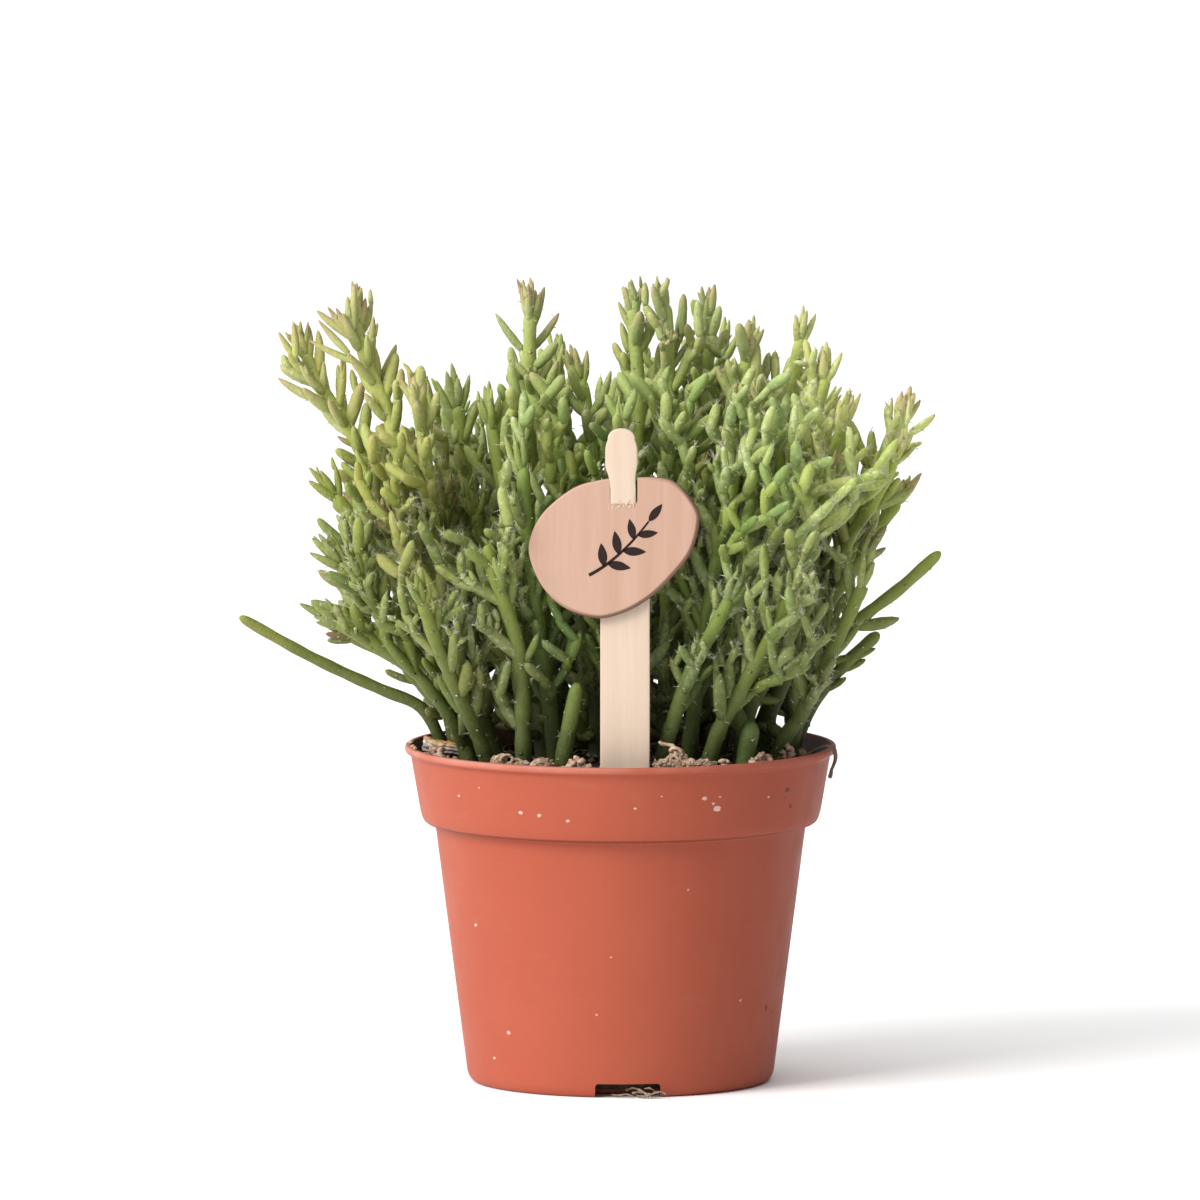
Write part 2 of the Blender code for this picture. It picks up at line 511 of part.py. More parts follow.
# ------------------------------------------------------------------ stick: rows of (z, half width, how far forward)
STICK_ROWS = [
    (49.6, 1.2, 0.0), (51.6, 4.0, 0.0), (54.5, 5.15, 0.0), (80.0, 5.15, 0.0), (105.0, 5.15, 0.0), (119.0, 5.1, 0.0),
    (121.4, 4.3, 0.0), (123.2, 3.0, 0.0), (125.0, 2.65, 0.0), (127.9, 2.65, NECK_FORWARD),
    (130.4, 2.8, NECK_FORWARD), (132.8, 3.35, NECK_FORWARD), (135.8, 3.35, NECK_FORWARD), (138.4, 2.7, NECK_FORWARD),
    (139.8, 1.7, NECK_FORWARD), (140.4, 0.7, NECK_FORWARD),
]
bm = bmesh.new()
half = STICK_THICKNESS / 2
soft = 0.22
rows = []
for z, w, forward in STICK_ROWS:
    section = [(w - soft, half), (w, half - soft), (w, soft - half), (w - soft, -half),
               (soft - w, -half), (-w, soft - half), (-w, half - soft), (soft - w, half)]
    shift = NECK_SHIFT * min(1.0, max(0.0, (z - 119.0) / 4.0)) + HEAD_SHIFT * min(1.0, max(0.0, (z - 128.0) / 4.0))
    rows.append([bm.verts.new(Vector((STICK_X + shift + x, STICK_Y + y - forward, z)) * MM) for x, y in section])
for a, b in zip(rows, rows[1:]):
    for k in range(8):
        n = (k + 1) % 8
        bm.faces.new((a[k], a[n], b[n], b[k]))
bm.faces.new(rows[0])
bm.faces.new(list(reversed(rows[-1])))
stick = from_bmesh("plant_stick", bm, mat=stick_mat)

# slot for the stick in the soil
bm = bmesh.new()
bmesh.ops.create_cube(bm, size=1.0)
bmesh.ops.scale(bm, verts=bm.verts, vec=Vector((11.0, STICK_THICKNESS + 0.7, 40.0)) * MM)
slot = from_bmesh("stick_slot", bm, cutters, smooth=False)
slot.location = Vector((STICK_X, STICK_Y, 49.2 + 20.0)) * MM
combine(soil, sockets + [slot], "DIFFERENCE")

# ------------------------------------------------------------------ tag: a pebble outline with a slot open at the top
TAG_POINTS = [(-18.9, 111.0), (-18.6, 115.6), (-15.8, 120.6), (-10.0, 125.3), (-4.8, 127.0), (0.0, 127.5), (7.6, 127.6),
              (11.8, 126.2), (15.6, 121.6), (16.3, 118.0), (14.6, 112.0), (10.4, 106.6), (5.6, 102.2), (0.0, 99.2),
              (-5.4, 98.3), (-11.6, 100.4), (-16.2, 104.8)]


def closed_loop(points, per_side):
    loop = []
    n = len(points)
    for i in range(n):
        p0, p1, p2, p3 = (Vector(points[(i + j - 1) % n]) for j in range(4))
        for k in range(per_side):
            t = k / per_side
            loop.append(0.5 * (2 * p1 + (p2 - p0) * t + (2 * p0 - 5 * p1 + 4 * p2 - p3) * t * t
                               + (3 * p1 - p0 - 3 * p2 + p3) * t ** 3))
    return loop


flat = bpy.data.curves.new("hanging_tag", "CURVE")
flat.dimensions = "2D"
flat.fill_mode = "BOTH"
flat.extrude = TAG_THICKNESS / 2 * MM
edge = flat.splines.new("POLY")
loop = closed_loop(TAG_POINTS, 3)
edge.points.add(len(loop) - 1)
for knot, p in zip(edge.points, loop):
    knot.co = (p.x * MM, p.y * MM, 0.0, 1.0)
edge.use_cyclic_u = True
sheet = bpy.data.objects.new("hanging_tag_outline", flat)
cutters.objects.link(sheet)
sheet.rotation_euler = (math.radians(90), 0.0, 0.0)
sheet.location = (0.0, TAG_Y * MM, 2.6 * MM)
bpy.context.view_layer.update()
seen = bpy.context.evaluated_depsgraph_get()
mesh = bpy.data.meshes.new_from_object(sheet.evaluated_get(seen))
bm = bmesh.new()
bm.from_mesh(mesh)
bmesh.ops.remove_doubles(bm, verts=bm.verts, dist=1e-6)
bm.to_mesh(mesh)
bm.free()
mesh.materials.clear()
tag = bpy.data.objects.new("hanging_tag", mesh)
tag.matrix_world = sheet.matrix_world.copy()
bpy.data.objects.remove(sheet, do_unlink=True)
place(tag, mat=tag_mat)
bm = bmesh.new()
bmesh.ops.create_cube(bm, size=1.0)
bmesh.ops.scale(bm, verts=bm.verts, vec=Vector((SLOT_WIDTH, 6.0, 12.0)) * MM)
notch = from_bmesh("tag_slot", bm, cutters, smooth=False)
notch.location = Vector((STICK_X + NECK_SHIFT, TAG_Y, SLOT_FOOT_Z + 6.0)) * MM
bpy.context.view_layer.update()
combine(tag, [notch], "DIFFERENCE")

# ------------------------------------------------------------------ things on the soil
CRUMBS = [
    ("crumb_left_large", (-23.3, -31.2), (3.5, 1.7, 2.2), 12), ("crumb_left_small", (-16.2, -33.6), (2.3, 1.7, 1.5), 11),
    ("crumb_clump_right", (13.2, -34.4), (6.2, 1.8, 2.5), 13), ("crumb_right", (22.2, -33.0), (1.5, 1.4, 1.2), 15),
    ("crumb_right_edge", (30.4, -23.6), (1.8, 1.5, 1.4), 16), ("crumb_far_right", (37.6, -5.0), (1.5, 1.6, 1.9), 14),
]
for name, (x, y), size, seed in CRUMBS:
    reach = max(size[0], size[1])
    ground = max(soil_height(x + reach * math.cos(a), y + reach * math.sin(a)) for a in (0, 1.05, 2.1, 3.14, 4.2, 5.25))
    lump(name, (x, y, max(ground, soil_height(x, y)) + 0.6), size, seed, crumb_mat, turn=5.0 * (seed - 13))

# bark chip: a bent wedge-shaped flake lying against the inside of the rim
bm = bmesh.new()
bmesh.ops.create_cube(bm, size=1.0)
bmesh.ops.subdivide_edges(bm, edges=bm.edges, cuts=2, use_grid_fill=True)
for v in bm.verts:
    x, y, z = v.co
    v.co = Vector((x * CHIP_SIZE[0], y * CHIP_SIZE[1] * (1 - 0.4 * x * x), z * CHIP_SIZE[2] * (1 - 0.55 * x) + 0.25 * math.sin(9 * x + 3 * y))) * MM
chip = from_bmesh("bark_chip", bm, mat=bark_mat)
chip.location = Vector(CHIP_AT) * MM
chip.rotation_euler = [math.radians(a) for a in CHIP_TURN]

# dry root strand over the rim, and the wisp in the front drain notch
strand = smooth_line([(37.4, -13.95, 68.4), (39.75, -13.05, 70.4), (41.9, -12.35, 71.4), (43.35, -11.95, 71.5), (44.55, -11.6, 70.7), (44.75, -11.35, 68.8), (44.1, -11.05, 66.6), (43.55, -10.75, 64.6)], 1.4)
tube("root_strand", strand, [0.32 + 0.1 * math.sin(0.9 * k) for k in range(len(strand))], 1, parts, root_mat)
wisp = smooth_line([(2.4, -30.6, 0.95), (4.2, -31.9, 1.35), (6.2, -32.2, 0.85), (7.4, -31.4, 1.3)], 1.1)
tube("drain_root", wisp, [0.32] * len(wisp), 1, parts, root_mat)
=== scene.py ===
"""Looks of the potted rhipsalis: detailed cuttings, pot, soil, stick and tag, with their finishes, floor, light and camera."""
import math
import random
import time

import bmesh
import bpy
import numpy as np
from mathutils import Matrix, Vector
from mathutils import noise as mnoise


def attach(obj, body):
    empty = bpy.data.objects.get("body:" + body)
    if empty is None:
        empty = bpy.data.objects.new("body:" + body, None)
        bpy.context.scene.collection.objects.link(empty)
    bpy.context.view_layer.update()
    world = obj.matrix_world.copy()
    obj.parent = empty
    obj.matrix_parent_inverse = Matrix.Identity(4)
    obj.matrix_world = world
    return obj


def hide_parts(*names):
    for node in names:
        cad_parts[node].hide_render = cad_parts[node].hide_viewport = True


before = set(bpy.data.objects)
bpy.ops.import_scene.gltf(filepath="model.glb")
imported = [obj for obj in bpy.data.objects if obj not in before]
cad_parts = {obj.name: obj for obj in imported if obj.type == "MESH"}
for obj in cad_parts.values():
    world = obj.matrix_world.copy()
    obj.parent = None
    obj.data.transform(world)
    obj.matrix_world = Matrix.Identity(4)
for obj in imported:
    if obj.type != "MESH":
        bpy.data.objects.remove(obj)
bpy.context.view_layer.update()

MM = 0.001

# pot, soil, stick and tag sizes in millimetres, as in the CAD
POT_HEIGHT = 70.6
RIM_RADIUS = 45.0
BAND_TOP_RADIUS = 43.9
BAND_FOOT_RADIUS = 41.5
BAND_FOOT_Z = 55.6
WALL_TOP_RADIUS = 39.0
FOOT_RADIUS = 32.1
FLOOR_RADIUS = 30.4
WALL = 1.1
FLOOR = 1.2
NOTCH_WIDTH = 13.6
NOTCH_HEIGHT = 3.0
NOTCH_INNER_RADIUS = 25.0
NOTCH_TURN = 2.7
GAP = 0.3
SOIL_EDGE_Z = 66.0
SOIL_CROWN = 2.0
STICK_Y = -34.5
STICK_THICKNESS = 1.3
STICK_X = 0.9
TAG_THICKNESS = 1.3
TAG_Y = STICK_Y - STICK_THICKNESS / 2 - GAP - TAG_THICKNESS / 2
NECK_FORWARD = 1.7
NECK_SHIFT = -0.4
HEAD_SHIFT = -0.35
SLOT_WIDTH = 6.0
SLOT_FOOT_Z = 124.6

# stick: rows of height, half width and how far forward; tag outline; loose things, as in the CAD
STICK_ROWS = [
    (49.6, 1.2, 0.0), (51.6, 4.0, 0.0), (54.5, 5.15, 0.0), (80.0, 5.15, 0.0), (105.0, 5.15, 0.0), (119.0, 5.1, 0.0),
    (121.4, 4.3, 0.0), (123.2, 3.0, 0.0), (125.0, 2.65, 0.0), (127.9, 2.65, NECK_FORWARD),
    (130.4, 2.8, NECK_FORWARD), (132.8, 3.35, NECK_FORWARD), (135.8, 3.35, NECK_FORWARD), (138.4, 2.7, NECK_FORWARD),
    (139.8, 1.7, NECK_FORWARD), (140.4, 0.7, NECK_FORWARD),
]
TAG_POINTS = [(-18.9, 111.0), (-18.6, 115.6), (-15.8, 120.6), (-10.0, 125.3), (-4.8, 127.0), (0.0, 127.5), (7.6, 127.6),
              (11.8, 126.2), (15.6, 121.6), (16.3, 118.0), (14.6, 112.0), (10.4, 106.6), (5.6, 102.2), (0.0, 99.2),
              (-5.4, 98.3), (-11.6, 100.4), (-16.2, 104.8)]
CRUMBS = [
    ("crumb_left_large", (-23.3, -31.2), (3.5, 1.7, 2.2), 12), ("crumb_left_small", (-16.2, -33.6), (2.3, 1.7, 1.5), 11),
    ("crumb_clump_right", (13.2, -34.4), (6.2, 1.8, 2.5), 13), ("crumb_right", (22.2, -33.0), (1.5, 1.4, 1.2), 15),
    ("crumb_right_edge", (30.4, -23.6), (1.8, 1.5, 1.4), 16), ("crumb_far_right", (37.6, -5.0), (1.5, 1.6, 1.9), 14),
]
STRAND = [(37.4, -13.95, 68.4), (39.75, -13.05, 70.4), (41.9, -12.35, 71.4), (43.35, -11.95, 71.5), (44.55, -11.6, 70.7), 
          (44.75, -11.35, 68.8), (44.1, -11.05, 66.6), (43.55, -10.75, 64.6)]
CHIP_SIZE = (9.0, 3.6, 2.3)
CHIP_AT = (-36.9, -7.0, 70.7)
CHIP_TURN = (0.0, 10.0, -4.0)


# cuttings: node, forks from this row (or None), radius at the foot and at the tip,
# the foot on the soil (x, y), then the points that the stem passes, ending at its tip
STEMS = [
    ("stem_left_crown", None, 1.75, 1.10, (-26, -4), [(-31, -6, 82), (-41, -6, 110), (-45.5, -5, 129), (-50, -4, 145), (-54, -4, 153), (-55.2, -4, 165)]),
    ("stem_left_crown", 0, 1.35, 1.05, None, [(-35, -9, 92), (-39, -13, 119), (-41, -13, 136), (-43.6, -12, 149)]),
    ("stem_left_high", None, 1.70, 1.10, (-30.5, 6), [(-36, 6, 84), (-46, 5, 112), (-55, 3, 133.5), (-62.5, 3, 145), (-68, 3, 157)]),
    ("stem_left_high", 2, 1.30, 1.05, None, [(-36, 9, 80), (-45, 13, 86), (-55, 14, 91), (-62, 13, 94.5)]),
    ("stem_left_mid", None, 1.70, 1.10, (-33.5, -3), [(-37, -2, 80), (-44, 0, 99), (-53, 0, 114), (-63, 0, 127)]),
    ("stem_left_long", None, 1.45, 0.95, (-36.2, 2.8), [(-41.6, 2.5, 77.9), (-49.6, 3, 81.5), (-57.6, 3, 85.1), (-65.6, 2.5, 89.1), (-73.6, 2, 93.6), (-79.6, 1, 97.2)]),
    ("stem_left_low", None, 1.65, 1.05, (-31.5, -12), [(-36, -13, 80), (-46, -13, 95), (-55, -13, 106), (-62.3, -12, 113.5)]),
    ("stem_left_low", 6, 1.25, 1.05, None, [(-35, -16, 77), (-43, -20, 88), (-55, -21, 96), (-64, -20, 101)]),
    ("stem_front_left", None, 1.65, 1.05, (-27, -20.5), [(-31, -25, 78), (-36, -33, 90), (-40, -40, 101), (-42, -45, 110)]),
    ("stem_front_upright", None, 1.75, 1.10, (-20.2, -26.5), [(-20.4, -28, 80), (-21.5, -31, 95), (-26, -36, 109), (-29, -39, 121)]),
    ("stub_front_left", None, 1.80, 1.30, (-12.2, -30.5), [(-11, -31.5, 76), (-9.0, -32.5, 87)]),
    ("stem_front_straight", None, 1.75, 1.10, (8.6, -28.5), [(10, -30, 76), (14.5, -32.5, 89.2), (19, -35.5, 98), (25, -40, 110)]),
    ("stem_front_right", None, 1.75, 1.10, (18, -26.5), [(21, -29, 78), (28, -34, 91), (34, -40, 103), (37, -46, 112)]),
    ("stub_front_right", None, 2.00, 1.70, (25.6, -25.4), [(26.2, -26, 72), (27.2, -27, 78.5)]),
    ("stub_leaning", None, 1.80, 1.35, (27.2, -17.6), [(25.5, -18.5, 76), (20.6, -20, 87)]),
    ("stem_right_front", None, 1.65, 1.05, (32.4, -15.5), [(37, -19, 78), (43, -24, 91), (49, -28, 104), (52, -30, 112)]),
    ("stem_right_long", None, 1.55, 1.00, (34.4, -8), [(38, -8.5, 78), (44, -10, 91), (50.5, -11, 97.5), (58, -12, 103), (66.6, -13, 110.3)]),
    ("stem_right_inner", None, 1.70, 1.10, (25, -10.5), [(28, -12, 84), (36, -13, 112), (43, -13, 130), (48.3, -13, 143.5)]),
    ("stem_right_inner", 17, 1.30, 1.05, None, [(31, -10, 86), (41, -6.5, 98), (48, -6, 107), (54, -5, 115)]),
    ("stem_right_low", None, 1.60, 1.05, (35.6, 1), [(38.5, 2, 76), (44, 4, 84), (51, 4, 90.5), (57.6, 4, 97)]),
    ("stem_right_mid", None, 1.75, 1.10, (29, 2), [(33, 1, 82), (43, 1, 103), (52, 0, 124), (57, 0, 134), (60.5, 0, 144)]),
    ("stem_right_mid", 20, 1.30, 1.05, None, [(37, 6, 92), (45, 11, 104), (54, 13, 115), (61.5, 12, 124)]),
    ("stem_right_high", None, 1.75, 1.10, (20.5, 4), [(24, 5, 85), (31, 6, 122), (36, 6, 146), (38.3, 6, 160.5)]),
    ("stem_right_high", 22, 1.35, 1.05, None, [(29, 0, 98), (36, -4, 120), (41, -6, 141), (43.6, -6, 153.5)]),
    ("stem_centre_right", None, 1.75, 1.10, (9, -2), [(9.5, -1, 85), (10, 0, 118), (10, 0, 143), (9.3, 0, 168)]),
    ("stem_centre_right", 24, 1.35, 1.05, None, [(15, -4, 98), (22, -6, 122), (25.5, -6, 146), (27.2, -6, 159.5)]),
    ("stem_centre", None, 1.75, 1.10, (2, 10), [(3, 9, 85), (3, 8, 117), (3.8, 6, 142), (2, 6, 167)]),
    ("stem_centre", 26, 1.35, 1.05, None, [(10, 12, 97), (16, 14, 120), (18, 15, 144), (18.6, 15, 164.5)]),
    ("stem_centre_left", None, 1.75, 1.10, (-5, -3), [(-5, -1, 85), (-5, 3, 117), (-7, 4, 140), (-10, 4, 152)]),
    ("stem_left_spire", None, 1.75, 1.10, (-13, 6), [(-14.5, 7, 85), (-18.4, 8, 117), (-19, 8, 138), (-18.9, 8, 166)]),
    ("stem_left_inner", None, 1.75, 1.10, (-16, -6), [(-18, -5, 85), (-23.5, -3, 118), (-28, -2, 144)]),
    ("stem_left_inner", 30, 1.35, 1.05, None, [(-23, 2, 96), (-29, 9, 114), (-33, 12, 131), (-34.4, 12, 146)]),
    ("stem_behind_tag_left", None, 1.70, 1.10, (-13.5, -18), [(-15, -20, 82), (-18, -25, 105), (-20, -27, 125), (-20.5, -27, 137)]),
    ("stem_behind_tag", None, 1.70, 1.10, (0, -18.5), [(0, -20, 82), (0, -23, 105), (0.5, -25, 125), (0, -24, 142)]),
    ("stem_behind_tag_right", None, 1.70, 1.10, (14, -16.5), [(15.5, -19, 82), (18.5, -25, 104), (22, -28, 122), (24.5, -29, 136)]),
    ("stem_back", None, 1.75, 1.10, (0, 31.5), [(0, 34, 80), (1, 42, 99), (2, 50, 114), (2, 55, 124)]),
    ("stem_back", 35, 1.30, 1.05, None, [(-3, 38, 82), (-9, 46, 89), (-14, 53, 96), (-18, 59, 101)]),
    ("stem_back", 35, 1.30, 1.05, None, [(4, 40, 86), (11, 47, 92), (16, 53, 97), (21, 59, 104)]),
    ("stem_back_left", None, 1.75, 1.10, (-16, 27.5), [(-18, 30, 82), (-23, 39, 103), (-28, 47, 120), (-30, 51, 130)]),
    ("stem_back_left", 38, 1.35, 1.05, None, [(-23, 33, 98), (-32, 33, 116), (-38, 33, 131), (-41, 33, 142)]),
    ("stem_back_right", None, 1.75, 1.10, (16, 27.5), [(18, 30, 82), (23, 39, 102), (28, 47, 118), (31, 51, 128)]),
    ("stem_back_right", 40, 1.35, 1.05, None, [(24, 32, 97), (33, 31, 114), (39, 31, 129), (43, 31, 139)]),
    ("stem_back_left_low", None, 1.65, 1.05, (-27.5, 18), [(-32, 21, 79), (-41, 27, 94), (-50, 33, 106), (-56, 37, 116)]),
    ("stem_back_right_low", None, 1.65, 1.05, (28, 16.5), [(32, 20, 79), (41, 27, 94), (49, 34, 106), (54, 38, 115)]),
    ("stem_back_tall_left", None, 1.70, 1.10, (-8, 19), [(-9, 21, 85), (-11.5, 27, 115), (-13, 32, 138), (-13, 35, 152)]),
    ("stem_back_tall_right", None, 1.70, 1.10, (9.5, 18), [(11, 21, 85), (16, 26, 115), (20, 31, 140), (22, 33, 154)]),
]
SIDE_SHOOT_STEP = 12.0
SIDE_SHOOT_RADIUS = 1.25
PLANT_TOP = 169.6
# heaps of soil: middle (x, y), height, and how far they spread in x and in y
HEAPS = [(-39, -7, 2.8, 6, 5), (-20, -32, 2.2, 7, 4.5), (13, -33, 2.6, 7, 4.5), (33, -17, 2.6, 5, 6)]
BARE_STUBS = ("stub_front_left", "stub_front_right", "stub_leaning")
SPARSE = ("stem_left_long",)


# ------------------------------------------------------------------ plant growth
def soil_height(x, y):
    """Top of the soil in mm: a low mound with shallow lumps."""
    r = math.hypot(x, y)
    lumps = 0.55 * math.sin(0.31 * x + 1.3) * math.cos(0.27 * y - 0.4) + 0.4 * math.sin(0.53 * x - 0.61 * y + 0.8)
    heaps = sum(h * math.exp(-0.5 * (((x - a) / wide) ** 2 + ((y - b) / deep) ** 2)) for a, b, h, wide, deep in HEAPS)
    return SOIL_EDGE_Z + SOIL_CROWN * (1.0 - (r / 42.0) ** 2) + lumps + heaps


def smooth_line(points, step):
    """Catmull-Rom curve through the points, with samples about `step` mm apart."""
    pts = [Vector(p) for p in points]
    pts = [pts[0] * 2 - pts[1]] + pts + [pts[-1] * 2 - pts[-2]]
    line = []
    for i in range(1, len(pts) - 2):
        p0, p1, p2, p3 = pts[i - 1:i + 3]
        n = max(1, round((p2 - p1).length / step))
        for k in range(n):
            t = k / n
            line.append(0.5 * (2 * p1 + (p2 - p0) * t + (2 * p0 - 5 * p1 + 4 * p2 - p3) * t * t
                               + (3 * p1 - p0 - 3 * p2 + p3) * t ** 3))
    line.append(pts[-2])
    return line


def stem_lines():
    """Centre line of every stem, sampled 4 mm apart, moved apart where two cuttings would touch."""
    lines, starts = [], []
    for node, parent, r0, r1, foot, pts in STEMS:
        if parent is None:
            ground = Vector((foot[0], foot[1], soil_height(*foot)))
            lean = (Vector(pts[0]) - ground).normalized()
            lean = (lean + Vector((0, 0, 0.35))).normalized()
            above = ground + lean * 4.0
            line = smooth_line([above] + pts, 4.0)
            starts.append((ground, lean))
        else:
            near = min(lines[parent], key=lambda p: (p - Vector(pts[0])).length + 1.2 * abs(p.z - pts[0][2] + 7))
            line = smooth_line([near] + pts, 4.0)
            starts.append(None)
        lines.append([Vector(p) for p in line])
    owner = np.concatenate([[hash_name(STEMS[i][0])] * len(l) for i, l in enumerate(lines)])
    first = np.cumsum([0] + [len(l) for l in lines])
    P = np.array([tuple(p) for l in lines for p in l])
    R = np.concatenate([np.linspace(STEMS[i][2], STEMS[i][3], len(l)) for i, l in enumerate(lines)])
    free = np.ones(len(P))
    for i, l in enumerate(lines):
        a, b = first[i], first[i + 1]
        free[a] = 0.0
        free[a + 1] = 0.35
        free[b - 1] = 0.3
    home = P.copy()
    for _ in range(80):
        d = P[:, None, :] - P[None, :, :]
        dist = np.sqrt((d ** 2).sum(2)) + 1e-9
        want = R[:, None] + R[None, :] + 2.6
        push = np.where((owner[:, None] != owner[None, :]) & (dist < want), (want - dist) * 0.35, 0.0)
        move = (d / dist[:, :, None] * push[:, :, None]).sum(1)
        for i in range(len(lines)):
            a, b = first[i], first[i + 1]
            m = move[a:b].copy()
            m[1:-1] = 0.5 * m[1:-1] + 0.25 * (m[:-2] + m[2:])
            move[a:b] = m
        move[:, 0] *= 0.6
        move[:, 2] *= 0.4
        P += move * free[:, None] + (home - P) * 0.01 * free[:, None]
    out = []
    for i in range(len(lines)):
        a, b = first[i], first[i + 1]
        line = [Vector(p) for p in P[a:b]]
        parent = STEMS[i][1]
        if parent is not None:
            line[0] = min(out[parent], key=lambda p: (p - line[0]).length).copy()
        out.append(line)
    return out, starts


def hash_name(name):
    """Small whole number for a cutting's name, the same on every run."""
    return sum((k + 1) * ord(c) for k, c in enumerate(name)) % 100003


def gap_to(p, q, A, B):
    """Distance from the segment p-q to each of the segments A-B."""
    d1, d2, r = q - p, B - A, p - A
    a, e, f = d1 @ d1, (d2 * d2).sum(1) + 1e-12, (d2 * r).sum(1)
    c, b = r @ d1, d2 @ d1
    den = a * e - b * b
    s = np.clip(np.where(den > 1e-9, (b * f - c * e) / np.where(den > 1e-9, den, 1.0), 0.0), 0.0, 1.0)
    t = (b * s + f) / e
    s = np.where(t < 0, np.clip(-c / a, 0, 1), np.where(t > 1, np.clip((b - c) / a, 0, 1), s))
    t = np.clip(t, 0, 1)
    return np.sqrt(((p + d1 * s[:, None] - A - d2 * t[:, None]) ** 2).sum(1))


def in_the_way(p, r):
    """True where a shoot would touch the pot, the soil, the stick or the tag, or hide the tag."""
    x, y, z = p
    if z < 70.0 + r or z + r > PLANT_TOP:
        return True
    if math.hypot(x, y) > 38.0 - r and z < POT_HEIGHT + 1.4 + r:
        return True
    if -7.5 - r < x < 9.3 + r and y < -31.6 + r:
        return True
    return -22.0 < x < 19.5 and y < -31.0 + r and z > 97.0


def shoots(lines):
    """Main side shoots: stem row, start, end, radius. They spiral up each stem and keep off other cuttings."""
    A, B, R, O = [], [], [], []
    for i, line in enumerate(lines):
        o = hash_name(STEMS[i][0])
        for k in range(len(line) - 1):
            A.append(tuple(line[k]))
            B.append(tuple(line[k + 1]))
            R.append(STEMS[i][2])
            O.append(o)
    grown = []
    for i, line in enumerate(lines):
        node = STEMS[i][0]
        if node in BARE_STUBS or node in SPARSE:
            continue
        rng = random.Random(1000 + 17 * i)
        o = hash_name(node)
        run = [0.0]
        for k in range(1, len(line)):
            run.append(run[-1] + (line[k] - line[k - 1]).length)
        s = rng.uniform(9.0, 14.0) if STEMS[i][1] is None else 8.0
        turn = rng.uniform(0.0, 360.0)
        while s < run[-1] - 3.0:
            k = max(j for j in range(len(run)) if run[j] <= s)
            k = min(k, len(line) - 2)
            t = (line[k + 1] - line[k]).normalized()
            at = line[k].lerp(line[k + 1], (s - run[k]) / max(1e-6, run[k + 1] - run[k]))
            side = t.cross(Vector((0.31, 0.95, 0.05))).normalized()
            for attempt in range(14):
                azimuth = turn + attempt * 51.0
                lean = math.radians(rng.uniform(30.0, 48.0))
                length = rng.uniform(8.0, 13.0) * (1.0 - 0.25 * s / run[-1]) * (1.0 - 0.03 * attempt)
                out = Matrix.Rotation(math.radians(azimuth), 3, t) @ side
                way = (t * math.cos(lean) + out * math.sin(lean) + Vector((0, 0, 0.12))).normalized()
                tip = at + way * length
                r = SIDE_SHOOT_RADIUS
                from_skin = at + way * 2.2
                if in_the_way(tip, r) or in_the_way(at.lerp(tip, 0.5), r):
                    continue
                d = gap_to(np.array(at), np.array(tip), np.array(A), np.array(B)) - np.array(R) - r
                other = np.array(O) != o
                if d[other].min() < 0.7:
                    continue
                own = gap_to(np.array(at.lerp(tip, 0.6)), np.array(tip), np.array(A), np.array(B)) - np.array(R) - r
                if own.min() < 0.25:
                    continue
                grown.append((i, at.copy(), tip, r))
                A.append(tuple(at))
                B.append(tuple(tip))
                R.append(r)
                O.append(o)
                break
            turn += 137.5
            s += SIDE_SHOOT_STEP * rng.uniform(0.85, 1.15)
    return grown


# ------------------------------------------------------------------ material helpers
def material(name):
    mat = bpy.data.materials.new(name)
    mat.use_nodes = True
    return mat, mat.node_tree, mat.node_tree.nodes["Principled BSDF"]


def put(socket, value, nt):
    if isinstance(value, bpy.types.NodeSocket):
        nt.links.new(value, socket)
    elif value is not None:
        socket.default_value = value


def noise(nt, vector, scale, detail=3.0, rough=0.55, distortion=0.0):
    n = nt.nodes.new("ShaderNodeTexNoise")
    n.inputs["Scale"].default_value = scale
    n.inputs["Detail"].default_value = detail
    n.inputs["Roughness"].default_value = rough
    n.inputs["Distortion"].default_value = distortion
    put(n.inputs["Vector"], vector, nt)
    return n.outputs["Fac"]


def voronoi(nt, vector, scale, feature="F1", randomness=1.0):
    n = nt.nodes.new("ShaderNodeTexVoronoi")
    n.feature = feature
    n.inputs["Scale"].default_value = scale
    n.inputs["Randomness"].default_value = randomness
    put(n.inputs["Vector"], vector, nt)
    return n


def ramp(nt, fac, stops, ease="LINEAR"):
    n = nt.nodes.new("ShaderNodeValToRGB")
    n.color_ramp.interpolation = ease
    while len(n.color_ramp.elements) < len(stops):
        n.color_ramp.elements.new(0.5)
    for el, (pos, col) in zip(n.color_ramp.elements, stops):
        el.position = pos
        el.color = (*col, 1.0) if len(col) == 3 else col
    put(n.inputs["Fac"], fac, nt)
    return n.outputs["Color"]


def grey(v):
    return (v, v, v)


def mix(nt, a, b, fac, blend="MIX"):
    n = nt.nodes.new("ShaderNodeMix")
    n.data_type = "RGBA"
    n.blend_type = blend
    put(n.inputs["Factor"], fac, nt)
    put(n.inputs[6], (*a, 1.0) if isinstance(a, tuple) and len(a) == 3 else a, nt)
    put(n.inputs[7], (*b, 1.0) if isinstance(b, tuple) and len(b) == 3 else b, nt)
    return n.outputs[2]


def calc(nt, op, a, b=None, c=None, clamp=False):
    n = nt.nodes.new("ShaderNodeMath")
    n.operation = op
    n.use_clamp = clamp
    put(n.inputs[0], a, nt)
    put(n.inputs[1], b, nt)
    if c is not None:
        put(n.inputs[2], c, nt)
    return n.outputs[0]


